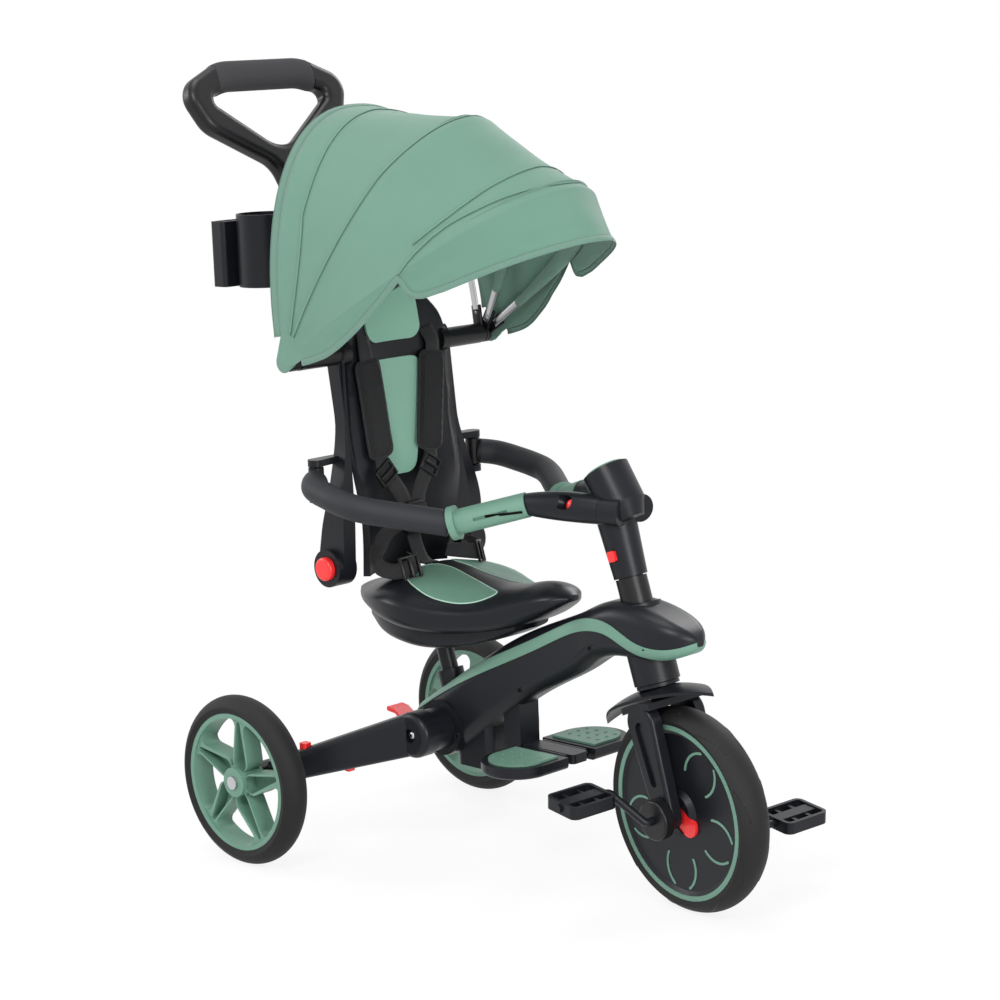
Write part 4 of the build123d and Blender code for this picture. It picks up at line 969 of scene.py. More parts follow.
    def stops(self, count: int) -> list[float]:
        """Space stations along the arch, closer where the visor's corners are.

        Args:
            count: Number of stretches.

        Returns:
            Shares from 0 to 1.
        """
        place, spread, closer = self.corner
        fine = [(index + 0.5) / self.corner_samples for index in range(self.corner_samples)]
        weights = [1 + closer * bell(min(share, 1 - share), place, spread) for share in fine]
        total, gone, found = sum(weights), 0.0, [0.0]
        for share, weight in zip(fine, weights):
            gone += weight
            while len(found) < count and gone >= total * len(found) / count:
                found.append(share)
        return found + [1.0]

    def rest(self, count: float, share: float) -> Vector:
        """Find a point of the hood's cloth.

        Args:
            count: Place between the ribs, from 0 at the rear; past the last rib it runs straight on.
            share: Share of the way from the right foot to the left foot.

        Returns:
            Point on the middle of the cloth.
        """
        lower = min(int(count), len(self.ribs) - 2)
        part = count - lower
        point = self.ribs[lower].point(share).lerp(self.ribs[lower + 1].point(share), part)
        hub = spot(HUB[0], 0.0, HUB[1])
        inward = Vector((hub.x - point.x, -self.inward_share * point.y, hub.z - point.z))
        arch, bulge = math.sin(math.pi * share), math.sin(math.pi * part)
        hang = self.sag[lower] * 4 * part * (1 - part) * arch
        near_foot = bell(min(share, 1 - share), *self.crease_place)
        ruffle = self.ripple.at(point) * bulge * arch + self.crease.at(point) * near_foot * bulge
        return point + inward.normalized() * (hang + ruffle)

    def frame(self, count: float, share: float) -> tuple[Vector, Vector]:
        """Find a point of the cloth and where its outer face looks.

        Args:
            count: Place between the ribs.
            share: Share of the way along the arch.

        Returns:
            Point and outward normal.
        """
        step, inner = self.probe, spot(HUB[0] + self.inside, 0.0, HUB[1] + self.inside)
        point = self.rest(count, share)
        ahead = self.rest(min(count + step, self.front_count), share)
        front = ahead - self.rest(max(count - step, 0.0), share)
        along = self.rest(count, min(share + step, 1.0)) - self.rest(count, max(share - step, 0.0))
        normal = along.cross(front).normalized()
        if normal.dot(point - inner) < 0:
            normal.negate()
        return point, normal

    def ear_point(self, count: float, side: Side, share: float) -> Vector:
        """Find a point of the flap that covers the hub pin.

        Args:
            count: Place between the ribs.
            side: Side of the flap.
            share: How far down the flap, from 0 at the foot to 1 at its lip.

        Returns:
            Point on the flap.
        """
        foot = self.rest(count, 0.0 if side is Side.RIGHT else 1.0)
        first, each = self.ear_turn
        angle = math.radians(first + each * count)
        ahead = HUB[0] + self.ear_radius * math.cos(angle)
        height = HUB[1] + self.ear_radius * math.sin(angle)
        return foot.lerp(spot(ahead, side.value * self.ear_across, height), share)

    def sheet(self) -> Piece:
        """Make the whole hood as one continuous sheet.

        Returns:
            The sheet.
        """
        mesh = bmesh.new()
        bmesh.ops.create_grid(mesh, x_segments=self.rows, y_segments=self.columns, size=0.5)
        places = {}
        stops = self.stops(self.columns - 2 * self.ear_columns)
        for vert in mesh.verts:
            count = (vert.co.x + 0.5) * self.front_count
            column = round((vert.co.y + 0.5) * self.columns)
            share = stops[min(max(column - self.ear_columns, 0), len(stops) - 1)]
            if count > self.fixed:
                part = (count - self.fixed) / (self.front_count - self.fixed)
                count = self.fixed + part * (self.edge(share) - self.fixed)
            places[vert] = (count * self.flat_step[0], share * self.flat_step[1])
            beyond = max(self.ear_columns - column, column + self.ear_columns - self.columns, 0)
            if beyond:
                side = Side.RIGHT if column < self.columns / 2 else Side.LEFT
                vert.co = self.ear_point(count, side, beyond / self.ear_columns)
            else:
                vert.co = self.rest(count, share)
        give_uv(mesh, places)
        thicken(mesh, self.thickness)
        return make_piece("canopy_hood", mesh, CLOTH)

    def follow(self, line: Line) -> list[Frame]:
        """Follow a line on the hood.

        Args:
            line: Places between the ribs and along the arch.

        Returns:
            For each place its point, the direction across the line, the line's run and the normal.
        """
        frames = [self.frame(*place) for place in line]
        found = []
        for index, (point, normal) in enumerate(frames):
            after, before = frames[min(index + 1, len(frames) - 1)], frames[max(index - 1, 0)]
            run = (after[0] - before[0]).normalized()
            found.append((point, run.cross(normal).normalized(), run, normal))
        return found

    def band(
        self, name: str, line: Line, offsets: Sequence[float], lifts: Sequence[float],
        finish: Finish, thickness: float,
    ) -> Piece:
        """Sew a band of cloth along a line of the hood.

        Args:
            name: Name of the piece.
            line: Places between the ribs and along the arch.
            offsets: Distances from the line across the band.
            lifts: Heights above the cloth's face at those distances.
            finish: Cloth of the band.
            thickness: Thickness of the band.

        Returns:
            The band.
        """
        top = self.thickness / 2
        rows = [
            [point + side * offset + normal * (top + lift) for offset, lift in zip(offsets, lifts)]
            for point, side, _, normal in self.follow(line)
        ]
        return ribbon(name, rows, finish, thickness)

    def pocket(self, name: str, number: int, across: float) -> Piece:
        """Sew a pocket inside the hood that holds one strip.

        Args:
            name: Name of the piece.
            number: Rib that it follows.
            across: Distance of the strip's feet from the middle, in millimetres.

        Returns:
            The pocket.
        """
        rib, (down, inside) = self.ribs[number], self.pocket_drop
        arch = Rib(rib.angle, rib.height - down, across - inside, rib.squareness, self.strip_foot)
        outer, waist, inner = self.pocket_widths
        rows = []
        for step in range(self.arch_steps + 1):
            share = self.pocket_end + (1 - 2 * self.pocket_end) * step / self.arch_steps
            point = arch.point(share)
            past_foot = min(share, 1 - share) - self.pocket_end
            wide = min(self.pocket_foot + self.pocket_flare * past_foot, 1.0)
            seam = rib.point(share).lerp(point, 1 - self.pocket_reach * wide)
            middle = point.lerp(seam, self.pocket_waist)
            side = rib.flat() * wide
            ahead = side * (self.rear_share if number == 0 else 1.0)
            rows.append([
                seam - side * outer, middle - side * waist, point - side * inner, point,
                point + side * inner, middle + ahead * waist, seam + ahead * outer,
            ])
        return ribbon(name, rows, HEM, self.hem_thickness)

    def bow(self, name: str, rib: Rib, across: float) -> Piece:
        """Bend one flat steel strip under a rib, from hub plate to hub plate.

        Args:
            name: Name of the piece.
            rib: Rib that the strip holds up.
            across: Distance of its feet from the middle, in millimetres.

        Returns:
            The strip.
        """
        height = rib.height - self.strip_drop
        arch = Rib(rib.angle, height, across, rib.squareness, self.strip_foot)
        flat = rib.flat() * self.strip_half
        rows = []
        for step in range(self.arch_steps + 1):
            point = arch.point(step / self.arch_steps)
            rows.append([point + flat * share for share in (-1.0, -0.4, 0.4, 1.0)])
        return ribbon(name, rows, STEEL, self.strip_thickness)

    def stitches(self, name: str, line: Line, offset: float) -> Piece:
        """Run one row of stitches beside a line of the hood.

        Args:
            name: Name of the piece.
            line: Places between the ribs and along the arch.
            offset: Distance from the line.

        Returns:
            The row of stitches.
        """
        followed = self.follow(line)
        sewn = [point + side * offset for point, side, _, _ in followed]
        lift = self.thickness / 2 + self.stitch_lift
        stations = []
        for index, place in spaced(sewn, self.stitch_pitch):
            normal = followed[index][3]
            stations.append((place + normal * lift, sewn[index + 1] - sewn[index], normal))
        length = self.stitch_pitch * self.stitch_share
        return dashes(name, stations, THREAD, length, self.thread_width)

    def sew(self) -> list[Piece]:
        """Sew the hems, the seams and their stitches.

        Returns:
            The sewn pieces.
        """
        shares = self.stops(self.line_steps)
        lip = [(self.edge(share), share) for share in shares]
        rear = [(0.0, share) for share in shares]
        sewn = [
            self.band("hem_front", lip, self.front_hem, self.hem_lifts, HEM, self.hem_thickness),
            self.band("hem_rear", rear, self.rear_hem, self.hem_lifts, HEM, self.hem_thickness),
            self.stitches("stitch_front", lip, self.front_stitch),
            self.stitches("stitch_rear", rear, self.rear_stitch),
        ]
        for number, seam in enumerate(self.seams):
            first = max(seam[0][0], self.seam_start)
            inside = [share for share in shares if first <= share <= 1 - first]
            line = [(self.read(seam, share), share) for share in inside]
            sewn.append(self.band(
                f"seam_{number}", line, self.seam_width, self.seam_lifts, CLOTH, self.seam_thickness,
            ))
            sewn.append(self.stitches(f"stitch_seam_{number}", line, self.seam_stitch))
        return sewn

    def build(self) -> None:
        """Make the hood, its seams, hems, strips and pockets.
        """
        hood, sewn = self.sheet(), self.sew()
        for piece in (hood, *sewn):
            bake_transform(piece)
        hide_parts("canopy_cloth")
        self.keep(hood, *sewn)
        for rib, (across, body, node) in zip(self.ribs, self.strips):
            strip = self.bow(node.replace("bow", "strip"), rib, across)
            self.hang(body, strip)
            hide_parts(node)
        for number, (across, body, node) in enumerate(self.strips):
            name = node.replace("canopy_bow", "pocket")
            self.hang(body, self.pocket(name, number, across))


@dataclass
class Harness(Assembly):
    """Shoulder pads, webbing, adjusters and the buckle."""

    pad_width: float = 0.042
    pad_length: float = 0.128
    pad_depth: float = 0.0085
    # Across and up of the pad's ends, and its distance ahead, in millimetres
    pad_top: Pair = (57.0, 638.0)
    pad_foot: Pair = (42.0, 512.0)
    pad_ahead: float = 100.0
    pad_stations: int = 24
    turn: float = math.radians(2.0)
    ray: float = 0.2
    clearance: float = 0.0012
    # The cover before it swells: its slack, its corners and its longest edges
    slack: float = 0.003
    corner: float = 0.008
    first_edge: float = 0.005
    longest: float = 0.006
    pressure: float = 4.0
    swell: float = 0.004
    binding_radius: float = 0.0021
    binding_inset: float = 0.0012
    binding_bend: float = 0.009
    # The row of stitches: its share of the pad's width and length, lift, pitch, length and thread
    stitch_share: Pair = (0.76, 0.935)
    stitch_lift: float = 0.0006
    stitch_pitch: float = 0.004
    stitch_length: float = 0.0028
    thread_width: float = 0.0007
    strap_width: float = 0.022
    waist_width: float = 0.020
    strap_depth: float = 0.0014
    buckle: Pair = (106.0, 430.0)
    # The waist strap's route on the left, in millimetres, and where its face looks
    waist_start: Triple = (0.003, 0.014, -0.004)
    waist_route: tuple[Triple, ...] = (
        (112.0, 44.0, 418.0), (118.0, 72.0, 398.0), (136.0, 88.0, 383.0), (156.0, 80.0, 377.0),
        (166.0, 62.0, 377.0), (160.0, 44.0, 380.0), (138.0, 30.0, 386.0),
    )
    waist_looks: tuple[Triple, ...] = (
        (1.0, 0.0, 0.0), (1.0, 0.0, 0.0), (0.5, 0.8, 0.3), (0.1, 1.0, 0.2),
        (0.8, 0.5, 0.2), (1.0, 0.1, 0.3), (0.7, -0.5, 0.4), (0.4, -0.5, 0.6),
    )
    waist_lift: float = 0.013
    crotch_route: tuple[Pair, ...] = ((126.0, 372.0), (142.0, 352.0))
    crotch_lifts: Pair = (0.010, 0.0004)
    above: float = 0.6
    # Place and size of each bar of a slider
    slider: tuple[tuple[Triple, Triple], ...] = (
        ((-0.0138, 0.0, 0.0), (0.0036, 0.024, 0.0042)),
        ((0.0138, 0.0, 0.0), (0.0036, 0.024, 0.0042)),
        ((0.0, 0.0110, 0.0005), (0.0260, 0.0034, 0.0046)),
        ((0.0, -0.0110, 0.0005), (0.0260, 0.0034, 0.0046)),
        ((0.0, 0.0, 0.0020), (0.0260, 0.0040, 0.0040)),
    )
    slider_round: float = 0.0009
    clasp_size: Triple = (0.0112, 0.040, 0.042)
    clasp_middle: float = 0.0058
    clasp_face: float = 0.0117
    clasp_corner: float = 0.010
    clasp_rim: float = 0.0022
    clasp_plate: Line = (
        (0.0, 0.0028), (0.0085, 0.0026), (0.0102, 0.0016), (0.0106, 0.0), (0.0128, 0.0),
        (0.0128, -0.0008),
    )

    def spine(self, side: Side, skins: Sequence[Skin], share: float) -> Frame:
        """Find a place on the back of a shoulder pad, laid against the backrest.

        Args:
            side: Side of the pad.
            skins: Surfaces that the pad lies on.
            share: Share of the way from its top to its foot.

        Returns:
            Point, direction across, direction along and direction out of the backrest.
        """
        sign = side.value
        top = spot(self.pad_ahead, sign * self.pad_top[0], self.pad_top[1])
        foot = spot(self.pad_ahead, sign * self.pad_foot[0], self.pad_foot[1])
        out = Vector((math.cos(self.turn), -sign * math.sin(self.turn), 0.0))
        along = (foot - top).normalized()
        across = along.cross(out).normalized()
        centre = top.lerp(foot, share)
        gap = 1.0
        for step in (-1.0, -0.5, 0.0, 0.5, 1.0):
            start = centre + across * (step * self.pad_width / 2) + out * self.ray
            for skin in skins:
                met, _ = skin.hit(start, -out)
                if (met - start).length > TINY:
                    gap = min(gap, (met - start).length)
        return centre + out * (self.ray - gap + self.clearance), across, along, out

    def laid(self, stations: Sequence[Frame], place: Vector) -> Vector:
        """Lay a point of the flat pad against the backrest.

        Args:
            stations: Places along the pad's back, from its top to its foot.
            place: Point of the flat pad.

        Returns:
            Point of the laid pad.
        """
        last = len(stations) - 1
        share = min(max(place.y / self.pad_length + 0.5, 0.0), 1.0) * last
        index = min(int(share), last - 1)
        one, across, _, out = stations[index]
        centre = one.lerp(stations[index + 1][0], share - index)
        return centre + across * place.x + out * (place.z + self.pad_depth / 2)

    def cover(self, name: str) -> Piece:
        """Sew one flat shoulder cover and swell it.

        Args:
            name: Name of the piece.

        Returns:
            The swollen cover, still flat.
        """
        mesh = bmesh.new()
        bmesh.ops.create_cube(mesh, size=1.0)
        size = [edge - self.slack for edge in (self.pad_width, self.pad_length, self.pad_depth)]
        bmesh.ops.scale(mesh, vec=size, verts=mesh.verts)
        upright = [
            edge for edge in mesh.edges if abs((edge.verts[0].co - edge.verts[1].co).z) > TINY
        ]
        round_edges(mesh, upright, self.corner, 4)
        bmesh.ops.triangulate(mesh, faces=[face for face in mesh.faces if len(face.verts) > 4])
        for limit in (self.first_edge, *[self.longest] * 4):
            long = [edge for edge in mesh.edges if edge.calc_length() > limit]
            if long:
                bmesh.ops.subdivide_edges(mesh, edges=long, cuts=1, use_grid_fill=True)
        bmesh.ops.recalc_face_normals(mesh, faces=mesh.faces)
        give_uv(mesh, {vert: (vert.co.x + vert.co.z, vert.co.y) for vert in mesh.verts})
        cover = make_piece(name, mesh, PAD_CLOTH)
        inflate(cover, self.pressure, self.swell)
        return cover

    def outline(self) -> list[Vector]:
        """Walk round the flat pad's edge.

        Returns:
            Points of the edge, close together.
        """
        bend = self.binding_bend
        half_x = self.pad_width / 2 - self.binding_inset - bend
        half_y = self.pad_length / 2 - self.binding_inset - bend
        corners = []
        for corner, (x, y) in enumerate(((1, 1), (-1, 1), (-1, -1), (1, -1))):
            for step in range(9):
                angle = math.radians(90.0 * corner + 90.0 * step / 8)
                run = Vector((math.cos(angle), math.sin(angle), 0.0))
                corners.append(Vector((x * half_x, y * half_y, 0.0)) + run * bend)
        ring = []
        for one, two in zip(corners, corners[1:] + corners[:1]):
            parts = max(1, round((two - one).length / self.longest))
            ring += [one.lerp(two, part / parts) for part in range(parts)]
        return ring

    def pad(self, side: Side, skins: Sequence[Skin]) -> list[Piece]:
        """Make one padded shoulder cover with its bound edge.

        Args:
            side: Side of the pad.
            skins: Surfaces that the pad lies on.

        Returns:
            The pad, its binding and its stitches.
        """
        cover = self.cover(f"shoulder_pad_{side.label}")
        stations = [
            self.spine(side, skins, step / self.pad_stations)
            for step in range(self.pad_stations + 1)
        ]
        for vert in cover.data.vertices:
            vert.co = self.laid(stations, vert.co)
        ring = self.outline()
        ring.append(ring[0])
        binding = tube(
            f"pad_binding_{side.label}", [self.laid(stations, place) for place in ring],
            self.binding_radius, WEBBING, 8, caps=False,
        )
        wide, long = self.stitch_share
        level = self.pad_depth / 2 + self.stitch_lift
        inner = [Vector((place.x * wide, place.y * long, level)) for place in ring]
        flat = [self.laid(stations, place) for place in inner]
        rows = []
        for index, place in spaced(inner, self.stitch_pitch):
            run = flat[index + 1] - flat[index]
            rows.append((self.laid(stations, place), run, stations[0][3]))
        sewn = dashes(
            f"pad_stitch_{side.label}", rows, DARK_THREAD,
            self.stitch_length, self.thread_width,
        )
        return [cover, binding, sewn]

    def strap(
        self, name: str, points: Sequence[Vector], looks: Sequence[Vector], width: float,
    ) -> Piece:
        """Run a length of webbing through points.

        Args:
            name: Name of the piece.
            points: Points of its middle line.
            looks: Direction that its face looks at each point.
            width: Width of the webbing.

        Returns:
            The webbing.
        """
        line, faces = smooth_path(points, 10), smooth_path(looks, 10)
        rows = []
        for index, point in enumerate(line):
            run = line[min(index + 1, len(line) - 1)] - line[max(index - 1, 0)]
            across = run.cross(faces[index]).normalized() * (width / 2)
            rows.append([point + across * step for step in (-1.0, -0.5, 0.0, 0.5, 1.0)])
        return ribbon(name, rows, WEBBING, self.strap_depth)

    def adjuster(self, name: str, place: Vector, along: Vector, out: Vector) -> Piece:
        """Make a three-bar slider round a strap.

        Args:
            name: Name of the piece.
            place: Its middle.
            along: Direction of the strap.
            out: Direction that its face looks.

        Returns:
            The slider.
        """
        across = along.cross(out).normalized()
        frame = axes(across, along.normalized(), out.normalized(), place)
        bars = [
            frame @ Matrix.Translation(centre) @ Matrix.Diagonal((*size, 1.0))
            for centre, size in self.slider
        ]
        return blocks(name, bars, self.slider_round, BLACK_SMOOTH)

    def clasp(self, place: Vector) -> list[Piece]:
        """Make the buckle with its round push plate.

        Args:
            place: Middle of its back.

        Returns:
            Its pieces.
        """
        mesh = bmesh.new()
        frame = Matrix.Translation(place + FRONT * self.clasp_middle)
        frame = frame @ Matrix.Diagonal((*self.clasp_size, 1.0))
        bmesh.ops.create_cube(mesh, size=1.0, matrix=frame)
        corners = [
            edge for edge in mesh.edges if abs((edge.verts[0].co - edge.verts[1].co).x) > TINY
        ]
        round_edges(mesh, corners, self.clasp_corner, 5)
        rims = [edge for edge in mesh.edges if edge.calc_face_angle(0.0) > 1.0]
        round_edges(mesh, rims, self.clasp_rim, 3)
        shell = make_piece("buckle_shell", mesh, BLACK_SMOOTH)
        face = place + FRONT * self.clasp_face
        plate = turned("buckle_plate", self.clasp_plate, face, FRONT, BLACK)
        return [shell, plate]

    def floor(self, seat: Skin, point: Vector) -> float | None:
        """Find the height of the seat under a point.

        Args:
            seat: Surface of the seat.
            point: Point above it.

        Returns:
            Height of the seat, or nothing beside it.
        """
        met, _ = seat.hit(Vector((point.x, point.y, self.above)), -UP)
        return met.z if met.z < self.above - TINY else None

    def side_straps(
        self, side: Side, skins: Sequence[Skin], seat: Skin, buckle: Vector,
    ) -> list[Piece]:
        """Make the straps and sliders of one side.

        Args:
            side: Side of the straps.
            skins: Surfaces that the shoulder pad lies on.
            seat: Surface of the seat.
            buckle: Middle of the buckle's back.

        Returns:
            The straps and sliders.
        """
        sign, name = side.value, side.label
        top, _, along, out = self.spine(side, skins, 0.0)
        foot, _, _, _ = self.spine(side, skins, 1.0)
        upper = [
            top + along * 0.012 + out * 0.004,
            top - along * 0.012 + out * 0.004,
            top - along * 0.030 + Vector((-0.004, -sign * 0.006, 0.0)),
        ]
        lower = [
            foot - along * 0.010 + out * 0.005,
            foot + along * 0.014 + out * 0.006,
            foot.lerp(buckle, 0.6) + out * 0.005,
            buckle + Vector((0.004, sign * 0.011, 0.016)),
        ]
        waist = [buckle + side.mirrored([self.waist_start])[0]]
        waist += [spot(x, sign * y, z) for x, y, z in self.waist_route]
        for point in waist:
            floor = self.floor(seat, point)
            if floor is not None:
                point.z = max(point.z, floor + self.waist_lift)
        looks = side.mirrored(self.waist_looks)
        slide = foot + along * 0.020 + out * 0.0075
        return [
            self.strap(f"shoulder_web_{name}", upper, [out] * 3, self.strap_width),
            self.strap(f"chest_web_{name}", lower, [out, out, out, FRONT], self.strap_width),
            self.adjuster(f"chest_slider_{name}", slide, lower[2] - lower[1], out),
            self.strap(f"waist_web_{name}", waist, looks, self.waist_width),
            self.adjuster(
                f"waist_slider_{name}", waist[5] + FRONT * 0.001, waist[5] - waist[4], looks[5],
            ),
        ]

    def build(self, nodes: dict[str, Piece], back: Piece, saddle: Piece) -> None:
        """Make the whole harness on the backrest.

        Args:
            nodes: CAD nodes by name.
            back: Backrest that the straps lie on.
            saddle: Seat that the straps lie on.
        """
        skins, seat = (Skin(back), Skin(nodes["back_panels"])), Skin(saddle)
        buckle = spot(self.buckle[0], 0.0, self.buckle[1])
        pads, webs = [], []
        for side in Side:
            pads += self.pad(side, skins)
            webs += self.side_straps(side, skins, seat, buckle)
        crotch = [buckle + Vector((0.004, 0.0, -0.014)), buckle + Vector((0.008, 0.0, -0.034))]
        for (x, z), lift in zip(self.crotch_route, self.crotch_lifts):
            point = spot(x, 0.0, z)
            point.z = (self.floor(seat, point) or point.z) + lift
            crotch.append(point)
        looks = [FRONT, FRONT, FRONT + UP * 0.5, FRONT + UP]
        webs.append(self.strap("crotch_web", crotch, looks, self.strap_width))
        webs += self.clasp(buckle)
        self.hang(Body.BACKREST, *pads, *webs)
        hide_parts("harness_pads")
        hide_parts("harness_straps")


@dataclass
class SafetyArms(Assembly):
    """Foam-covered arms that close the ring round the child."""

    radius: float = 0.0163
    # How much thinner the foam is at its rounded tip, where along its first stretch, and at its foot
    tip_thinner: tuple[float, ...] = (0.003, 0.0011, 0.0002)
    tip_shares: tuple[float, ...] = (0.0, 0.12, 0.35)
    foot_thinner: tuple[float, ...] = (0.0006, 0.0025, 0.005)
    slope: float = 0.2
    # The tip's distance ahead and height, and the ring's route ahead and across, in millimetres
    tip: Pair = (282.5, 454.8)
    route: Line = (
        (281.0, 100.4), (264.0, 113.2), (245.0, 127.6), (226.0, 142.0), (207.7, 155.2),
        (184.6, 166.9), (158.9, 169.4), (138.0, 167.6), (118.6, 165.0), (105.5, 160.4),
        (95.0, 151.6), (87.0, 141.4),
    )
    barrel: Pair = (84.0, 138.0)
    barrel_drop: float = 17.6
    knuckle: Line = (
        (0.0, 0.0), (0.0086, 0.0), (0.0098, 0.0012), (0.0098, 0.0340), (0.0086, 0.0352),
        (0.0, 0.0352),
    )

    def height(self, distance: float) -> float:
        """Find the height of the ring at a distance ahead, in millimetres."""
        return self.tip[1] + (self.tip[0] - distance) * self.slope

    def build(self) -> None:
        """Make the foam and the hinge knuckle of both arms.
        """
        for side in Side:
            sign, name = side.value, side.label
            line = smooth_path([spot(x, sign * y, self.height(x)) for x, y in self.route], 8)
            line = [line[0].lerp(line[1], share) for share in self.tip_shares] + line[1:]
            plain = len(line) - len(self.tip_thinner) - len(self.foot_thinner)
            thinner = (*self.tip_thinner, *[0.0] * plain, *self.foot_thinner)
            radii = [self.radius - less for less in thinner]
            foam = tube(f"arm_foam_{name}", line, radii, FOAM, 32)
            ahead, across = self.barrel
            foot = spot(ahead, sign * across, self.height(ahead) - self.barrel_drop)
            knuckle = turned(f"arm_knuckle_{name}", self.knuckle, foot, UP, BLACK_SMOOTH)
            self.hang(side.body("safety_arm"), foam, knuckle)
            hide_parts(f"safety_arm_{name}")


@dataclass
class HandleFoam(Assembly):
    """Soft cover on the push handle's top bar."""

    # The bar's neck, half width and depth, in millimetres
    neck: Triple = (-107.0, 0.0, 883.0)
    tilt: float = math.radians(20.6)
    half: float = 82.0
    depth: float = 15.3
    cover: float = 1.3
    squareness: float = 0.78
    sides: int = 36
    # Upper edge: height, where its bend starts and the bend's radius
    upper: Triple = (136.0, 54.3, 80.0)
    # Lower edge: height, where its bend starts and ends, the bend's radius and the slope after it
    lower: tuple[float, float, float, float, float] = (99.0, 51.7, 71.9, 70.0, 0.302)
    # Stops near each end, with what the section loses there
    ends: Line = ((1.0, 2.6), (0.994, 1.1), (0.982, 0.3), (0.96, 0.0))
    middle_steps: int = 20

    def edges(self, across: float) -> Pair:
        """Find the bar's upper and lower edge.

        Args:
            across: Distance from the middle in millimetres.

        Returns:
            Heights above the neck in millimetres.
        """
        place = abs(across)
        high, start, radius = self.upper
        bend = max(place - start, 0.0)
        upper = high - (radius - math.sqrt(radius ** 2 - bend ** 2))
        low, start, end, radius, slope = self.lower
        dip = min(max(place - start, 0.0), end - start)
        lower = low - (radius - math.sqrt(radius ** 2 - dip ** 2)) - max(place - end, 0.0) * slope
        return upper, lower

    def section(self, stop: float, less: float) -> list[Vector]:
        """Find the points round one section of the cover.

        Args:
            stop: Place across, as a share of half the width.
            less: What the section loses all round, in millimetres.

        Returns:
            Points of the section.
        """
        up = Vector((-math.sin(self.tilt), 0.0, math.cos(self.tilt)))
        out = Vector((math.cos(self.tilt), 0.0, math.sin(self.tilt)))
        upper, lower = self.edges(stop * self.half)
        tall, deep = (upper - lower) / 2 + self.cover - less, self.depth - less
        centre = spot(*self.neck) + Vector((0.0, stop * self.half / PER_METRE, 0.0))
        found = []
        for turn in turns(self.sides):
            wide = power(math.cos(turn), self.squareness) * deep
            high = (upper + lower) / 2 + power(math.sin(turn), self.squareness) * tall
            found.append(centre + (out * wide + up * high) / PER_METRE)
        return found

    def build(self) -> None:
        """Make the cover from rounded sections along the bar.
        """
        count = self.middle_steps
        stops = [(-stop, less) for stop, less in self.ends]
        stops += [(step / count, 0.0) for step in range(1 - count, count)]
        stops += reversed(self.ends)
        rings = [self.section(stop, less) for stop, less in stops]
        foam = make_piece("handle_foam", loft(rings), GREY_FOAM)
        self.hang(Body.PUSH_HANDLE, foam)
        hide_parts("handle_grip")


@dataclass
class Backrest(Assembly):
    """Backrest shell, drawn in above the safety ring, with the canopy's post sleeves."""

    # Millimetres: where the narrowing starts and is full, and what stays as it is
    low: float = 425.0
    high: float = 565.0
    widest: float = 124.0
    kept_half: float = 85.0
    back: float = 78.0
    # Where across the shell its depth starts to shrink, and where all of it does
    shallow: Pair = (50.0, 85.0)
    width_left: float = 0.35
    depth_left: float = 0.45
    merge: float = 1e-5
    longest: float = 0.016
    splits: int = 3
    crease: float = math.radians(32.0)
    sleeve_across: float = 80.0
    sleeve: Line = (
        (0.0, 0.0), (0.0165, 0.0), (0.0165, 0.012), (0.0150, 0.0135), (0.0131, 0.0140),
        (0.0131, 0.046), (0.0, 0.046),
    )

    def drawn_in(self, place: Vector) -> Vector:
        """Move one point of the shell.

        Args:
            place: Point of the CAD shell.

        Returns:
            Point of the narrower shell.
        """
        half = abs(place.y) * PER_METRE
        if half >= self.widest:
            return place.copy()
        share = ramp(place.z * PER_METRE, self.low, self.high)
        share = share * share * (3 - 2 * share)
        beyond = max(half - self.kept_half, 0.0) / PER_METRE
        across = abs(place.y) - beyond * share * (1 - self.width_left)
        reach = max(place.x - spot(self.back, 0.0, 0.0).x, 0.0)
        less = reach * share * ramp(half, *self.shallow) * (1 - self.depth_left)
        return Vector((place.x - less, math.copysign(across, place.y), place.z))

    def build(self, nodes: dict[str, Piece]) -> Piece:
        """Make the shell and the post sleeves.

        Args:
            nodes: CAD nodes by name.

        Returns:
            The shell, which the straps lie on.
        """
        mesh = bmesh.new()
        mesh.from_mesh(nodes["backrest_shell"].data)
        bmesh.ops.remove_doubles(mesh, verts=mesh.verts, dist=self.merge)
        for _ in range(self.splits):
            long = [edge for edge in mesh.edges if edge.calc_length() > self.longest]
            bmesh.ops.subdivide_edges(mesh, edges=long, cuts=1)
            bmesh.ops.triangulate(mesh, faces=mesh.faces)
        for edge in mesh.edges:
            edge.smooth = edge.calc_face_angle(0.0) < self.crease
        for vert in mesh.verts:
            vert.co = self.drawn_in(vert.co)
        shell = make_piece("backrest_moulding", mesh, BLACK)
        self.hang(Body.BACKREST, shell)
        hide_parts("backrest_shell")
        for side in Side:
            place = spot(HUB[0], side.value * self.sleeve_across, HUB[1])
            name = f"post_sleeve_{side.label}"
            sleeve = turned(name, self.sleeve, place, side.out, BLACK_SMOOTH, 40)
            self.hang(Body.BACKREST, sleeve)
        return shell


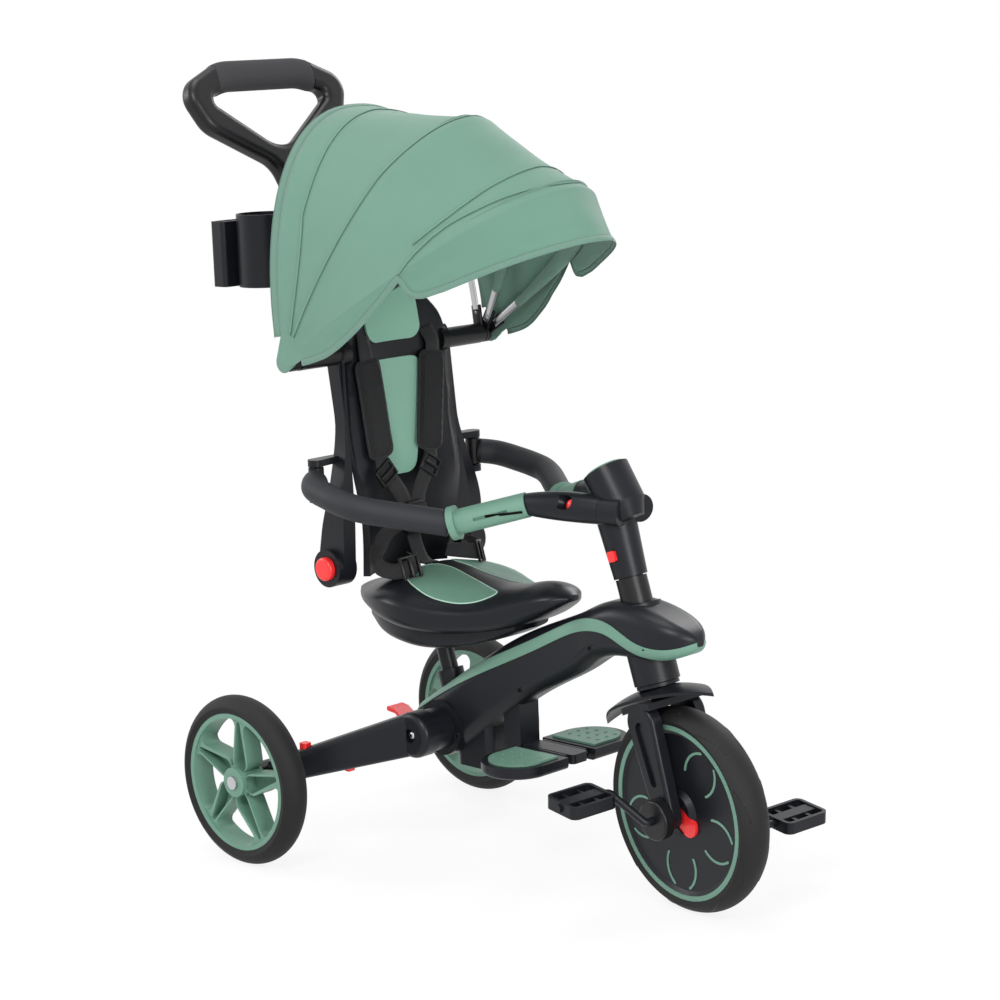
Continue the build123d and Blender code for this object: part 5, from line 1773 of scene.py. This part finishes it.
@dataclass
class Seat(Assembly):
    """Moulded saddle with a central ridge and two inlaid thigh pads."""

    # Ahead, centre height, height and width of each section, in millimetres
    sections: tuple[Section, ...] = (
        (40.0, 335.0, 12.0, 64.0), (70.0, 336.0, 22.0, 120.0), (110.0, 340.5, 38.0, 178.0),
        (150.0, 343.5, 65.0, 212.0), (190.0, 340.5, 71.0, 220.0), (230.0, 335.5, 65.0, 196.0),
        (275.0, 335.0, 54.0, 154.0), (310.0, 341.0, 51.0, 122.0), (340.0, 350.0, 46.0, 98.0),
        (360.0, 355.5, 36.0, 80.0), (376.0, 358.0, 23.0, 55.0), (388.0, 358.0, 8.0, 20.0),
    )
    base: tuple[Section, ...] = (
        (80.0, 316.0, 34.0, 104.0), (120.0, 308.0, 40.0, 146.0), (160.0, 303.0, 40.0, 168.0),
        (200.0, 300.0, 38.0, 168.0), (240.0, 302.0, 34.0, 142.0), (280.0, 309.0, 26.0, 100.0),
        (315.0, 319.0, 16.0, 62.0),
    )
    ridge: float = 1.72
    floor: float = 4.0
    # Rounding allowed where the upper face ends, so that both edges belong to it
    slack: float = 1e-9
    # The hollow under each thigh: depth, its place and length ahead, its place and width across
    dish: tuple[float, float, float, float, float] = (4.5, 214.0, 56.0, 50.0, 27.0)
    petal: Line = (
        (148.0, 40.0), (166.0, 15.0), (216.0, 14.0), (262.0, 21.0), (290.0, 33.0), (281.0, 54.0),
        (248.0, 74.0), (206.0, 81.0), (166.0, 67.0),
    )
    petal_steps: int = 6
    # Rings of a thigh pad, from its edge inwards: share of its size and height above the saddle
    pad_rings: Line = (
        (1.0, -1.4), (0.985, 0.5), (0.95, 0.8), (0.85, 0.8), (0.7, 0.8), (0.5, 0.8), (0.3, 0.8),
        (0.12, 0.8),
    )
    # The pale tube round each pad paints the highlight on its edge: its lift and its radius
    edge_lift: float = 0.2
    edge_radius: float = 0.0009
    steps: int = 60
    sides: int = 72

    @staticmethod
    def section(rows: Sequence[Section], distance: float) -> Triple:
        """Read a moulding's section at a place along it.

        Args:
            rows: Sections of the moulding.
            distance: Millimetres ahead of the rear axle.

        Returns:
            Centre height, height and width in millimetres.
        """
        last = len(rows) - 2
        index = next((step for step in range(last) if distance <= rows[step + 1][0]), last)
        before, after = rows[max(index - 1, 0)], rows[min(index + 2, len(rows) - 1)]
        start, end = rows[index], rows[index + 1]
        gap = end[0] - start[0]
        part = (distance - start[0]) / gap
        late = 3 * part ** 2 - 2 * part ** 3
        found = []
        for item in (1, 2, 3):
            rise = (end[item] - before[item]) / (end[0] - before[0]) * gap
            fall = (after[item] - start[item]) / (after[0] - start[0]) * gap
            bend = (part ** 3 - 2 * part ** 2 + part) * rise + (part ** 3 - part ** 2) * fall
            found.append((1 - late) * start[item] + late * end[item] + bend)
        return found[0], found[1], found[2]

    def top(self, distance: float, across: float) -> float:
        """Find the height of the seat's upper face.

        Args:
            distance: Millimetres ahead of the rear axle.
            across: Millimetres from the middle.

        Returns:
            Height in millimetres.
        """
        centre, height, width = self.section(self.sections, distance)
        reach = min(abs(2 * across / width), 1.0)
        depth, middle, length, out, spread = self.dish
        hollow = depth * bell(distance, middle, length) * bell(abs(across), out, spread)
        return centre + height / 2 * (1 - reach ** self.ridge) ** (1 / self.ridge) - hollow

    def moulding(self, name: str, rows: Sequence[Section], crowned: bool) -> Piece:
        """Loft a moulding through its sections.

        Args:
            name: Name of the piece.
            rows: Sections of the moulding.
            crowned: Whether its upper face is the saddle's own.

        Returns:
            The moulding.
        """
        rings = []
        first, last = rows[0][0], rows[-1][0]
        for step in range(self.steps + 1):
            eased = (1 - math.cos(math.pi * step / self.steps)) / 2
            distance = first + (last - first) * eased
            centre, height, width = self.section(rows, distance)
            ring = []
            for turn in turns(self.sides):
                across = width / 2 * math.cos(turn)
                rise = (1 - abs(math.cos(turn)) ** self.floor) ** (1 / self.floor)
                level = centre + math.copysign(height / 2 * rise, math.sin(turn))
                if crowned and math.sin(turn) >= -self.slack:
                    level = self.top(distance, across)
                ring.append(spot(distance, across, level))
            rings.append(ring)
        return make_piece(name, loft(rings), BLACK)

    def inlay(self, side: Side) -> list[Piece]:
        """Lay one thigh pad into the saddle, with a pale line round it as a painted highlight on its
        edge.

        Args:
            side: Side of the pad.

        Returns:
            The pad and its pale line of painted highlight.
        """
        corners = [Vector((x, y, 0.0)) for x, y in self.petal]
        extra = 2 * self.petal_steps
        outline = smooth_path(corners[-2:] + corners + corners[:2], self.petal_steps)[extra:-extra]
        middle = sum(outline, Vector()) / len(outline)

        def ring(scale: float, lift: float) -> list[Vector]:
            """Draw the outline smaller, at a height above the saddle."""
            flat = [middle.lerp(corner, scale) for corner in outline]
            return [spot(x, side.value * y, self.top(x, y) + lift) for x, y, _ in flat]

        rings = [ring(scale, lift) for scale, lift in self.pad_rings]
        mesh = loft(rings, first=False)
        pad = make_piece(f"thigh_pad_{side.label}", mesh, GREEN)
        # Pale tube on the pad's edge: painted highlight
        rim = ring(1.0, self.edge_lift)
        line = tube(
            f"pad_line_{side.label}", rim + rim[:1], self.edge_radius, PAINTED_HIGHLIGHT, 8,
            caps=False,
        )
        return [pad, line]

    def build(self) -> Piece:
        """Make the seat and set it on its body.

        Returns:
            The saddle, which the straps lie on.
        """
        saddle = self.moulding("saddle", self.sections, True)
        under = self.moulding("saddle_base", self.base, False)
        inlays = self.inlay(Side.RIGHT) + self.inlay(Side.LEFT)
        self.hang(Body.SEAT, saddle, under, *inlays)
        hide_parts("seat_shell")
        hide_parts("seat_pan")
        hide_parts("seat_pads")
        return saddle


@dataclass
class Trim(Assembly):
    """Small fittings: screws, ports, strip plates, tabs, buttons, grip slots and tyre sipes."""

    # Ahead, height and slope of each port in the frame's side
    ports: tuple[Triple, ...] = (
        (319.0, 238.0, 60.0), (444.0, 310.0, 60.0), (532.0, 318.0, 70.0), (214.0, 164.0, 60.0),
    )
    port_half: Pair = (0.0046, 0.0027)
    ray_across: Pair = (120.0, 160.0)
    ray_height: float = 20.0
    port_sides: int = 28
    rim_radius: float = 0.0007
    # The dark disc of painted shade inside a port: its lift and thickness
    pit_lift: float = 0.0003
    pit_depth: float = 0.0006
    # The rear arms: the pivot ahead and up, and the red tab ahead and across, in millimetres
    pivot: Pair = (184.0, 171.0)
    socket_half: Pair = (0.0105, 0.0105)
    pivot_screw: Pair = (0.0008, 0.0050)
    tab: Pair = (98.0, 118.0)
    tab_size: Triple = (0.0085, 0.0110, 0.0060)
    tab_sunk: float = 0.0022
    tab_round: float = 0.0012
    # A screw's section and its cross, as shares of the head's radius
    screw_head: Line = (
        (0.0, 0.35), (0.45, 0.33), (0.85, 0.18), (1.0, 0.0), (1.0, -0.3), (0.0, -0.3),
    )
    cross: Triple = (0.33, 1.1, 0.24)
    plate_size: Triple = (0.030, 0.015, 0.0044)
    plate_along: float = 0.022
    plate_round: float = 0.0011
    # The plate's screw: how far along it, how deep and its radius
    plate_screw: Triple = (0.005, 0.0016, 0.0026)
    eye: Line = (
        (0.0043, -0.0022), (0.0118, -0.0022), (0.0125, -0.0015), (0.0125, 0.0015),
        (0.0118, 0.0022), (0.0043, 0.0022), (0.0043, -0.0022),
    )
    # A button's dome: share of its radius and height over its CAD face
    dome: Line = ((0.0, 0.0032), (0.45, 0.0028), (0.8, 0.0014), (1.0, -0.0006))
    # The front wheel's middle and axle, and the sipes on its shoulders
    wheel: Pair = (566.0, 125.0)
    wheel_axis: Triple = (0.1413, 0.9890, 0.0432)
    sipes: int = 9
    sipe_steps: int = 8
    sipe_sweep: float = math.radians(24.0)
    sipe_start: float = 0.1125
    sipe_rise: float = 0.0095
    sipe_radius: float = 0.0006
    sipe_ray: float = 0.06
    # Ends of a grip's slot, ahead and up in millimetres, and the direction that looks into it
    slot: Line = ((461.0, 501.2), (524.0, 513.2))
    slot_across: float = 220.0
    slot_look: Triple = (-0.693, -0.698, -0.182)
    slot_steps: int = 10
    slot_radius: float = 0.0017

    def screw(self, name: str, place: Vector, normal: Vector, radius: float, body: Body) -> None:
        """Set a cross-head screw on a surface.

        Args:
            name: Name of the piece.
            place: Where the head sits.
            normal: Direction that the head looks.
            radius: Radius of the head.
            body: Body that it rides on.
        """
        profile = [(out * radius, high * radius) for out, high in self.screw_head]
        head = turned(f"{name}_head", profile, place, normal, STEEL, 20)
        # Two dark bars paint the shade in the head's cross recess
        lift, length, width = (share * radius for share in self.cross)
        side = normal.orthogonal().normalized()
        level = place + normal * lift
        bars = [(level, side, normal), (level, normal.cross(side), normal)]
        cross = dashes(f"{name}_cross", bars, PAINTED_SHADE, length, width)
        self.hang(body, head, cross)

    def port(
        self, name: str, place: Vector, normal: Vector, along: Vector, half: Pair,
        body: Body,
    ) -> None:
        """Set an oval port with a fine rim into a surface; a dark disc paints the shade inside it.

        Args:
            name: Name of the piece.
            place: Middle of the port.
            normal: Direction that it looks.
            along: Direction of its long side.
            half: Half its length and half its width.
            body: Body that it rides on.
        """
        along = (along - normal * along.dot(normal)).normalized()
        across = normal.cross(along)
        long, wide = half
        ring = []
        for step in range(self.port_sides + 1):
            turn = math.tau * step / self.port_sides
            ring.append(place + along * (long * math.cos(turn)) + across * (wide * math.sin(turn)))
        rim = tube(f"{name}_rim", ring, self.rim_radius, BLACK_SMOOTH, 8, caps=False)
        # A thin dark disc over the surface paints the shade inside the port
        mesh = bmesh.new()
        made = bmesh.ops.create_circle(mesh, segments=self.port_sides, radius=1.0, cap_ends=True)
        for vert in made["verts"]:
            flat = place + along * (vert.co.x * long) + across * (vert.co.y * wide)
            vert.co = flat + normal * self.pit_lift
        thicken(mesh, self.pit_depth)
        pit_shade = make_piece(f"{name}_pit", mesh, PAINTED_SHADE, smooth=False)
        self.hang(body, rim, pit_shade)

    def plate(self, name: str, angle: float, across: float, body: Body) -> None:
        """Clamp a black plate with a screw round the foot of a strip.

        Args:
            name: Name of the piece.
            angle: Angle of the strip about the hub.
            across: Place of the strip's foot across the tricycle, in millimetres.
            body: Body that it rides on.
        """
        turn = math.radians(angle)
        along = Vector((math.cos(turn), 0.0, math.sin(turn)))
        side = Vector((0.0, math.copysign(1.0, across), 0.0))
        middle = spot(HUB[0], across, HUB[1])
        place = middle + along * self.plate_along
        frame = axes(along, side.cross(along), side, place)
        frame = frame @ Matrix.Diagonal((*self.plate_size, 1.0))
        box = blocks(name, [frame], self.plate_round, BLACK_SMOOTH)
        eye = turned(f"{name}_eye", self.eye, middle, side, BLACK_SMOOTH, 36)
        self.hang(body, box, eye)
        ahead, deep, radius = self.plate_screw
        self.screw(f"{name}_screw", place + along * ahead - side * deep, -side, radius, body)

    def bar_button(self, side: Side) -> None:
        """Raise a domed red button in the handlebar's recess.

        Args:
            side: Side of the button.
        """
        node = f"bar_button_{side.label}"
        low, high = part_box(node)
        middle = (Vector(low) + Vector(high)) / 2
        radius = min(high[0] - low[0], high[2] - low[2]) / 2
        deep = (high[1] - low[1]) / 2
        profile = [(share * radius, deep + lift) for share, lift in self.dome]
        profile += [(radius, -deep), (0.0, -deep)]
        dome = turned(f"{node}_dome", profile, middle, side.out, RED, 32)
        self.hang(side.body("bar_button"), dome)
        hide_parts(node)

    def grip_slot(self, grip: Skin, side: Side) -> None:
        """Line the long groove of a grip with a dark tube of painted shade.

        Args:
            grip: Surface of the grips.
            side: Side of the grip.
        """
        look = side.mirrored([self.slot_look])[0]
        first, last = (spot(x, side.value * self.slot_across, z) for x, z in self.slot)
        starts = [first.lerp(last, step / self.slot_steps) for step in range(self.slot_steps + 1)]
        points = [grip.hit(start, look)[0] for start in starts]
        name = f"grip_slot_{side.label}"
        # The tube is dark, painted shade in the groove
        self.hang(Body.HANDLEBAR, tube(name, points, self.slot_radius, PAINTED_SHADE, 10))

    def tread(self, tyre: Skin) -> None:
        """Draw the curved sipes on both shoulders of the front tyre.

        Args:
            tyre: Surface of the tyre.
        """
        axis = Vector(self.wheel_axis).normalized()
        middle = spot(self.wheel[0], 0.0, self.wheel[1])
        first = axis.cross(FRONT).normalized()
        second = axis.cross(first)
        for side in Side:
            for number in range(self.sipes):
                points = []
                for step in range(self.sipe_steps + 1):
                    share = step / self.sipe_steps
                    angle = math.tau * number / self.sipes + self.sipe_sweep * share
                    radius = self.sipe_start + self.sipe_rise * math.sin(share * math.pi / 2)
                    out = first * math.cos(angle) + second * math.sin(angle)
                    start = middle + out * radius + axis * (side.value * self.sipe_ray)
                    points.append(tyre.hit(start, axis * -side.value)[0])
                name = f"sipe_{side.label}_{number}"
                sipe = tube(name, points, self.sipe_radius, BLACK_SMOOTH, 6)
                self.hang(Body.FRONT_WHEEL, sipe)

    def rear_arm(self, arm: Skin, side: Side) -> None:
        """Set the pivot's socket and screw and the red tab on a rear arm.

        Args:
            arm: Surface of the arm.
            side: Side of the arm.
        """
        body, sign, name = side.body("rear_arm"), side.value, side.label
        start = spot(self.pivot[0], sign * self.ray_across[1], self.pivot[1])
        place, normal = arm.hit(start, -side.out)
        self.port(f"arm_socket_{name}", place, normal, FRONT, self.socket_half, body)
        lift, radius = self.pivot_screw
        self.screw(f"arm_screw_{name}", place + normal * lift, normal, radius, body)
        place, normal = arm.hit(spot(self.tab[0], sign * self.tab[1], self.ray_height), UP)
        frame = Matrix.Translation(place - UP * self.tab_sunk)
        frame = frame @ Matrix.Diagonal((*self.tab_size, 1.0))
        self.hang(body, blocks(f"arm_tab_{name}", [frame], self.tab_round, RED))

    def build(self, nodes: dict[str, Piece]) -> None:
        """Set all the small fittings.

        Args:
            nodes: CAD nodes by name.
        """
        cover, grips = Skin(nodes["frame_cover"]), Skin(nodes["grips"])
        for side in Side:
            sign, name = side.value, side.label
            for number, (distance, height, slope) in enumerate(self.ports):
                start = spot(distance, sign * self.ray_across[0], height)
                place, normal = cover.hit(start, -side.out)
                turn = math.radians(slope)
                along = Vector((math.cos(turn), 0.0, math.sin(turn)))
                self.port(
                    f"port_{name}_{number}", place, normal, along, self.port_half, Body.FRAME,
                )
            self.rear_arm(Skin(nodes[f"rear_arm_{name}"]), side)
            for number, (rib, (across, body, _)) in enumerate(zip(Canopy.ribs, Canopy.strips)):
                self.plate(f"bow_plate_{name}_{number}", rib.angle, sign * across, body)
        for side in Side:
            self.bar_button(side)
            self.grip_slot(grips, side)
        self.tread(Skin(nodes["front_tyre"]))


@dataclass
class Studio:
    """Floor, lights and the camera at the photograph's place."""

    azimuth: float = math.radians(44.86)
    elevation: float = math.radians(10.19)
    roll: float = math.radians(-2.12)
    distance: float = 3.29346
    aim: Vector = field(default_factory=lambda: Vector((0.00644, 0.0, 0.46724)))
    lens: float = 95.673
    sensor: float = 36.0
    clip: float = 100.0
    # Each lamp's place, the edge of its face in metres and its power in watts
    lamps: tuple[tuple[str, Triple, float, float], ...] = (
        ("key", (1.5, -2.9, 2.9), 1.3, 78.0),
        ("top", (-0.3, -0.2, 3.6), 1.8, 46.0),
        ("fill", (-2.7, -1.7, 1.7), 1.1, 30.0),
        ("rim", (-0.4, 2.9, 2.4), 1.4, 40.0),
        ("low", (3.0, -1.0, 0.9), 1.2, 46.0),
    )
    ambient: float = 0.40
    floor_half: float = 14.0
    floor_colour: float = 0.92
    floor_roughness: float = 0.9
    # How white the floor looks near the wheels and far away, and where it turns
    floor_white: Pair = (0.86, 1.0)
    floor_fade: Pair = (0.45, 1.5)

    def camera(self) -> None:
        """Place the camera and make it the scene's own."""
        level = math.cos(self.elevation)
        back = Vector((
            math.sin(self.azimuth) * level, -math.cos(self.azimuth) * level,
            math.sin(self.elevation),
        ))
        right = Vector((math.cos(self.azimuth), math.sin(self.azimuth), 0.0))
        up = back.cross(right)
        rolled_right = right * math.cos(self.roll) + up * math.sin(self.roll)
        rolled_up = up * math.cos(self.roll) - right * math.sin(self.roll)
        data = bpy.data.cameras.new("photo_camera")
        data.lens = self.lens
        data.sensor_width = self.sensor
        data.clip_end = self.clip
        camera = bpy.data.objects.new("photo_camera", data)
        bpy.context.collection.objects.link(camera)
        camera.matrix_world = axes(rolled_right, rolled_up, back, self.aim + back * self.distance)
        bpy.context.scene.camera = camera

    def light(self, name: str, place: Vector, size: float, watts: float) -> None:
        """Add one soft area lamp that faces the tricycle.

        Args:
            name: Name of the lamp.
            place: Where it stands.
            size: Edge of its square face.
            watts: Its power.
        """
        data = bpy.data.lights.new(name, "AREA")
        data.size = size
        data.energy = watts
        lamp = bpy.data.objects.new(name, data)
        bpy.context.collection.objects.link(lamp)
        lamp.location = place
        lamp.rotation_euler = (self.aim - place).to_track_quat("-Z", "Y").to_euler()

    @staticmethod
    def seen(tree: Tree) -> Socket:
        """Tell the rays that look at the backdrop from those that light the object.

        Args:
            tree: Node tree of the backdrop.

        Returns:
            Socket that is 1 for camera, glossy and transmission rays.
        """
        rays = tree.nodes.new("ShaderNodeLightPath")
        total = rays.outputs["Is Camera Ray"]
        for name in ("Is Glossy Ray", "Is Transmission Ray"):
            total = math_node(tree, "MAXIMUM", total, rays.outputs[name])
        return total

    def world(self) -> None:
        """Light the scene evenly and show white behind it."""
        world = bpy.data.worlds.new("studio")
        world.use_nodes = True
        bpy.context.scene.world = world
        tree = world.node_tree
        even = tree.nodes["Background"]
        white = tree.nodes.new("ShaderNodeBackground")
        for node, strength in ((even, self.ambient), (white, 1.0)):
            set_inputs(node, Color=(1.0, 1.0, 1.0, 1.0), Strength=strength)
        choose = tree.nodes.new("ShaderNodeMixShader")
        tree.links.new(self.seen(tree), choose.inputs[0])
        tree.links.new(even.outputs[0], choose.inputs[1])
        tree.links.new(white.outputs[0], choose.inputs[2])
        tree.links.new(choose.outputs[0], tree.nodes["World Output"].inputs["Surface"])

    def floor(self) -> None:
        """Lay a plain pale floor under the wheels."""
        mesh = bmesh.new()
        bmesh.ops.create_grid(mesh, x_segments=1, y_segments=1, size=self.floor_half)
        material = bpy.data.materials.new("studio_floor")
        material.use_nodes = True
        tree = material.node_tree
        shader = tree.nodes["Principled BSDF"]
        grey = (*[self.floor_colour] * 3, 1.0)
        set_inputs(shader, Base_Color=grey, Roughness=self.floor_roughness)
        white = tree.nodes.new("ShaderNodeEmission")
        place = tree.nodes.new("ShaderNodeTexCoord")
        away = tree.nodes.new("ShaderNodeVectorMath")
        away.operation = "LENGTH"
        tree.links.new(place.outputs["Object"], away.inputs[0])
        fade = tree.nodes.new("ShaderNodeMapRange")
        (near, far), (dull, bright) = self.floor_fade, self.floor_white
        set_inputs(fade, From_Min=near, From_Max=far, To_Min=dull, To_Max=bright)
        tree.links.new(away.outputs["Value"], fade.inputs["Value"])
        share = math_node(tree, "MULTIPLY", self.seen(tree), fade.outputs["Result"])
        choose = tree.nodes.new("ShaderNodeMixShader")
        tree.links.new(share, choose.inputs[0])
        tree.links.new(shader.outputs[0], choose.inputs[1])
        tree.links.new(white.outputs[0], choose.inputs[2])
        tree.links.new(choose.outputs[0], tree.nodes["Material Output"].inputs["Surface"])
        floor = make_piece("studio_floor", mesh, None, smooth=False)
        floor.data.materials.append(material)

    def build(self) -> None:
        """Set the whole studio up."""
        self.camera()
        for name, place, size, watts in self.lamps:
            self.light(name, Vector(place), size, watts)
        self.world()
        self.floor()
        bpy.context.scene.view_settings.view_transform = "Standard"


NODE_FINISHES: dict[Finish, tuple[str, ...]] = {
    # The back panels get the lighter green: painted light under the canopy
    PANEL_PAINTED_LIGHT: ("back_panels",),
    BLACK: (
        "frame_cover", "footrest_post", "fork", "front_disc", "pedal_right", "pedal_left",
        "rear_arm_right", "rear_arm_left", "foot_wing_right", "foot_wing_left", "cup_holder",
        "stem_body", "handlebar_arms", "head_bushes", "fender", "crankshaft", "seat_post",
    ),
    BLACK_SMOOTH: ("stem_sleeve", "hub_caps", "canopy_posts", "push_handle"),
    GREEN: (
        "frame_stripe", "front_trim", "rear_rim_right", "rear_rim_left", "foot_pad_right",
        "foot_pad_left", "stem_cap", "grips",
    ),
    RED: (
        "clutch_bar", "brake_pedal", "wheel_button_right", "wheel_button_left",
        "recline_button_right", "recline_button_left", "stem_button_right", "stem_button_left",
    ),
    STEEL: ("hinge_pins", "rear_axle_right", "rear_axle_left", "axle_bushes"),
    TYRE: ("front_tyre", "rear_tyre_right", "rear_tyre_left"),
}


def dress_nodes(nodes: dict[str, Piece]) -> None:
    """Give each CAD node that stays in view its finish.

    Args:
        nodes: CAD nodes by name.
    """
    for finish, names in NODE_FINISHES.items():
        for name in names:
            node = nodes[name]
            node.data.materials.clear()
            node.data.materials.append(SHOP.material(finish))
            log.info("dressed %s in %s", name, finish.name)


def main() -> None:
    """Build the looks in order."""
    logging.basicConfig(level=logging.INFO)
    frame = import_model()
    Studio().build()
    dress_nodes(frame["nodes"])
    Canopy().build()
    saddle = Seat().build()
    back = Backrest().build(frame["nodes"])
    Harness().build(frame["nodes"], back, saddle)
    SafetyArms().build()
    HandleFoam().build()
    Trim().build(frame["nodes"])


if __name__ == "__main__":
    main()
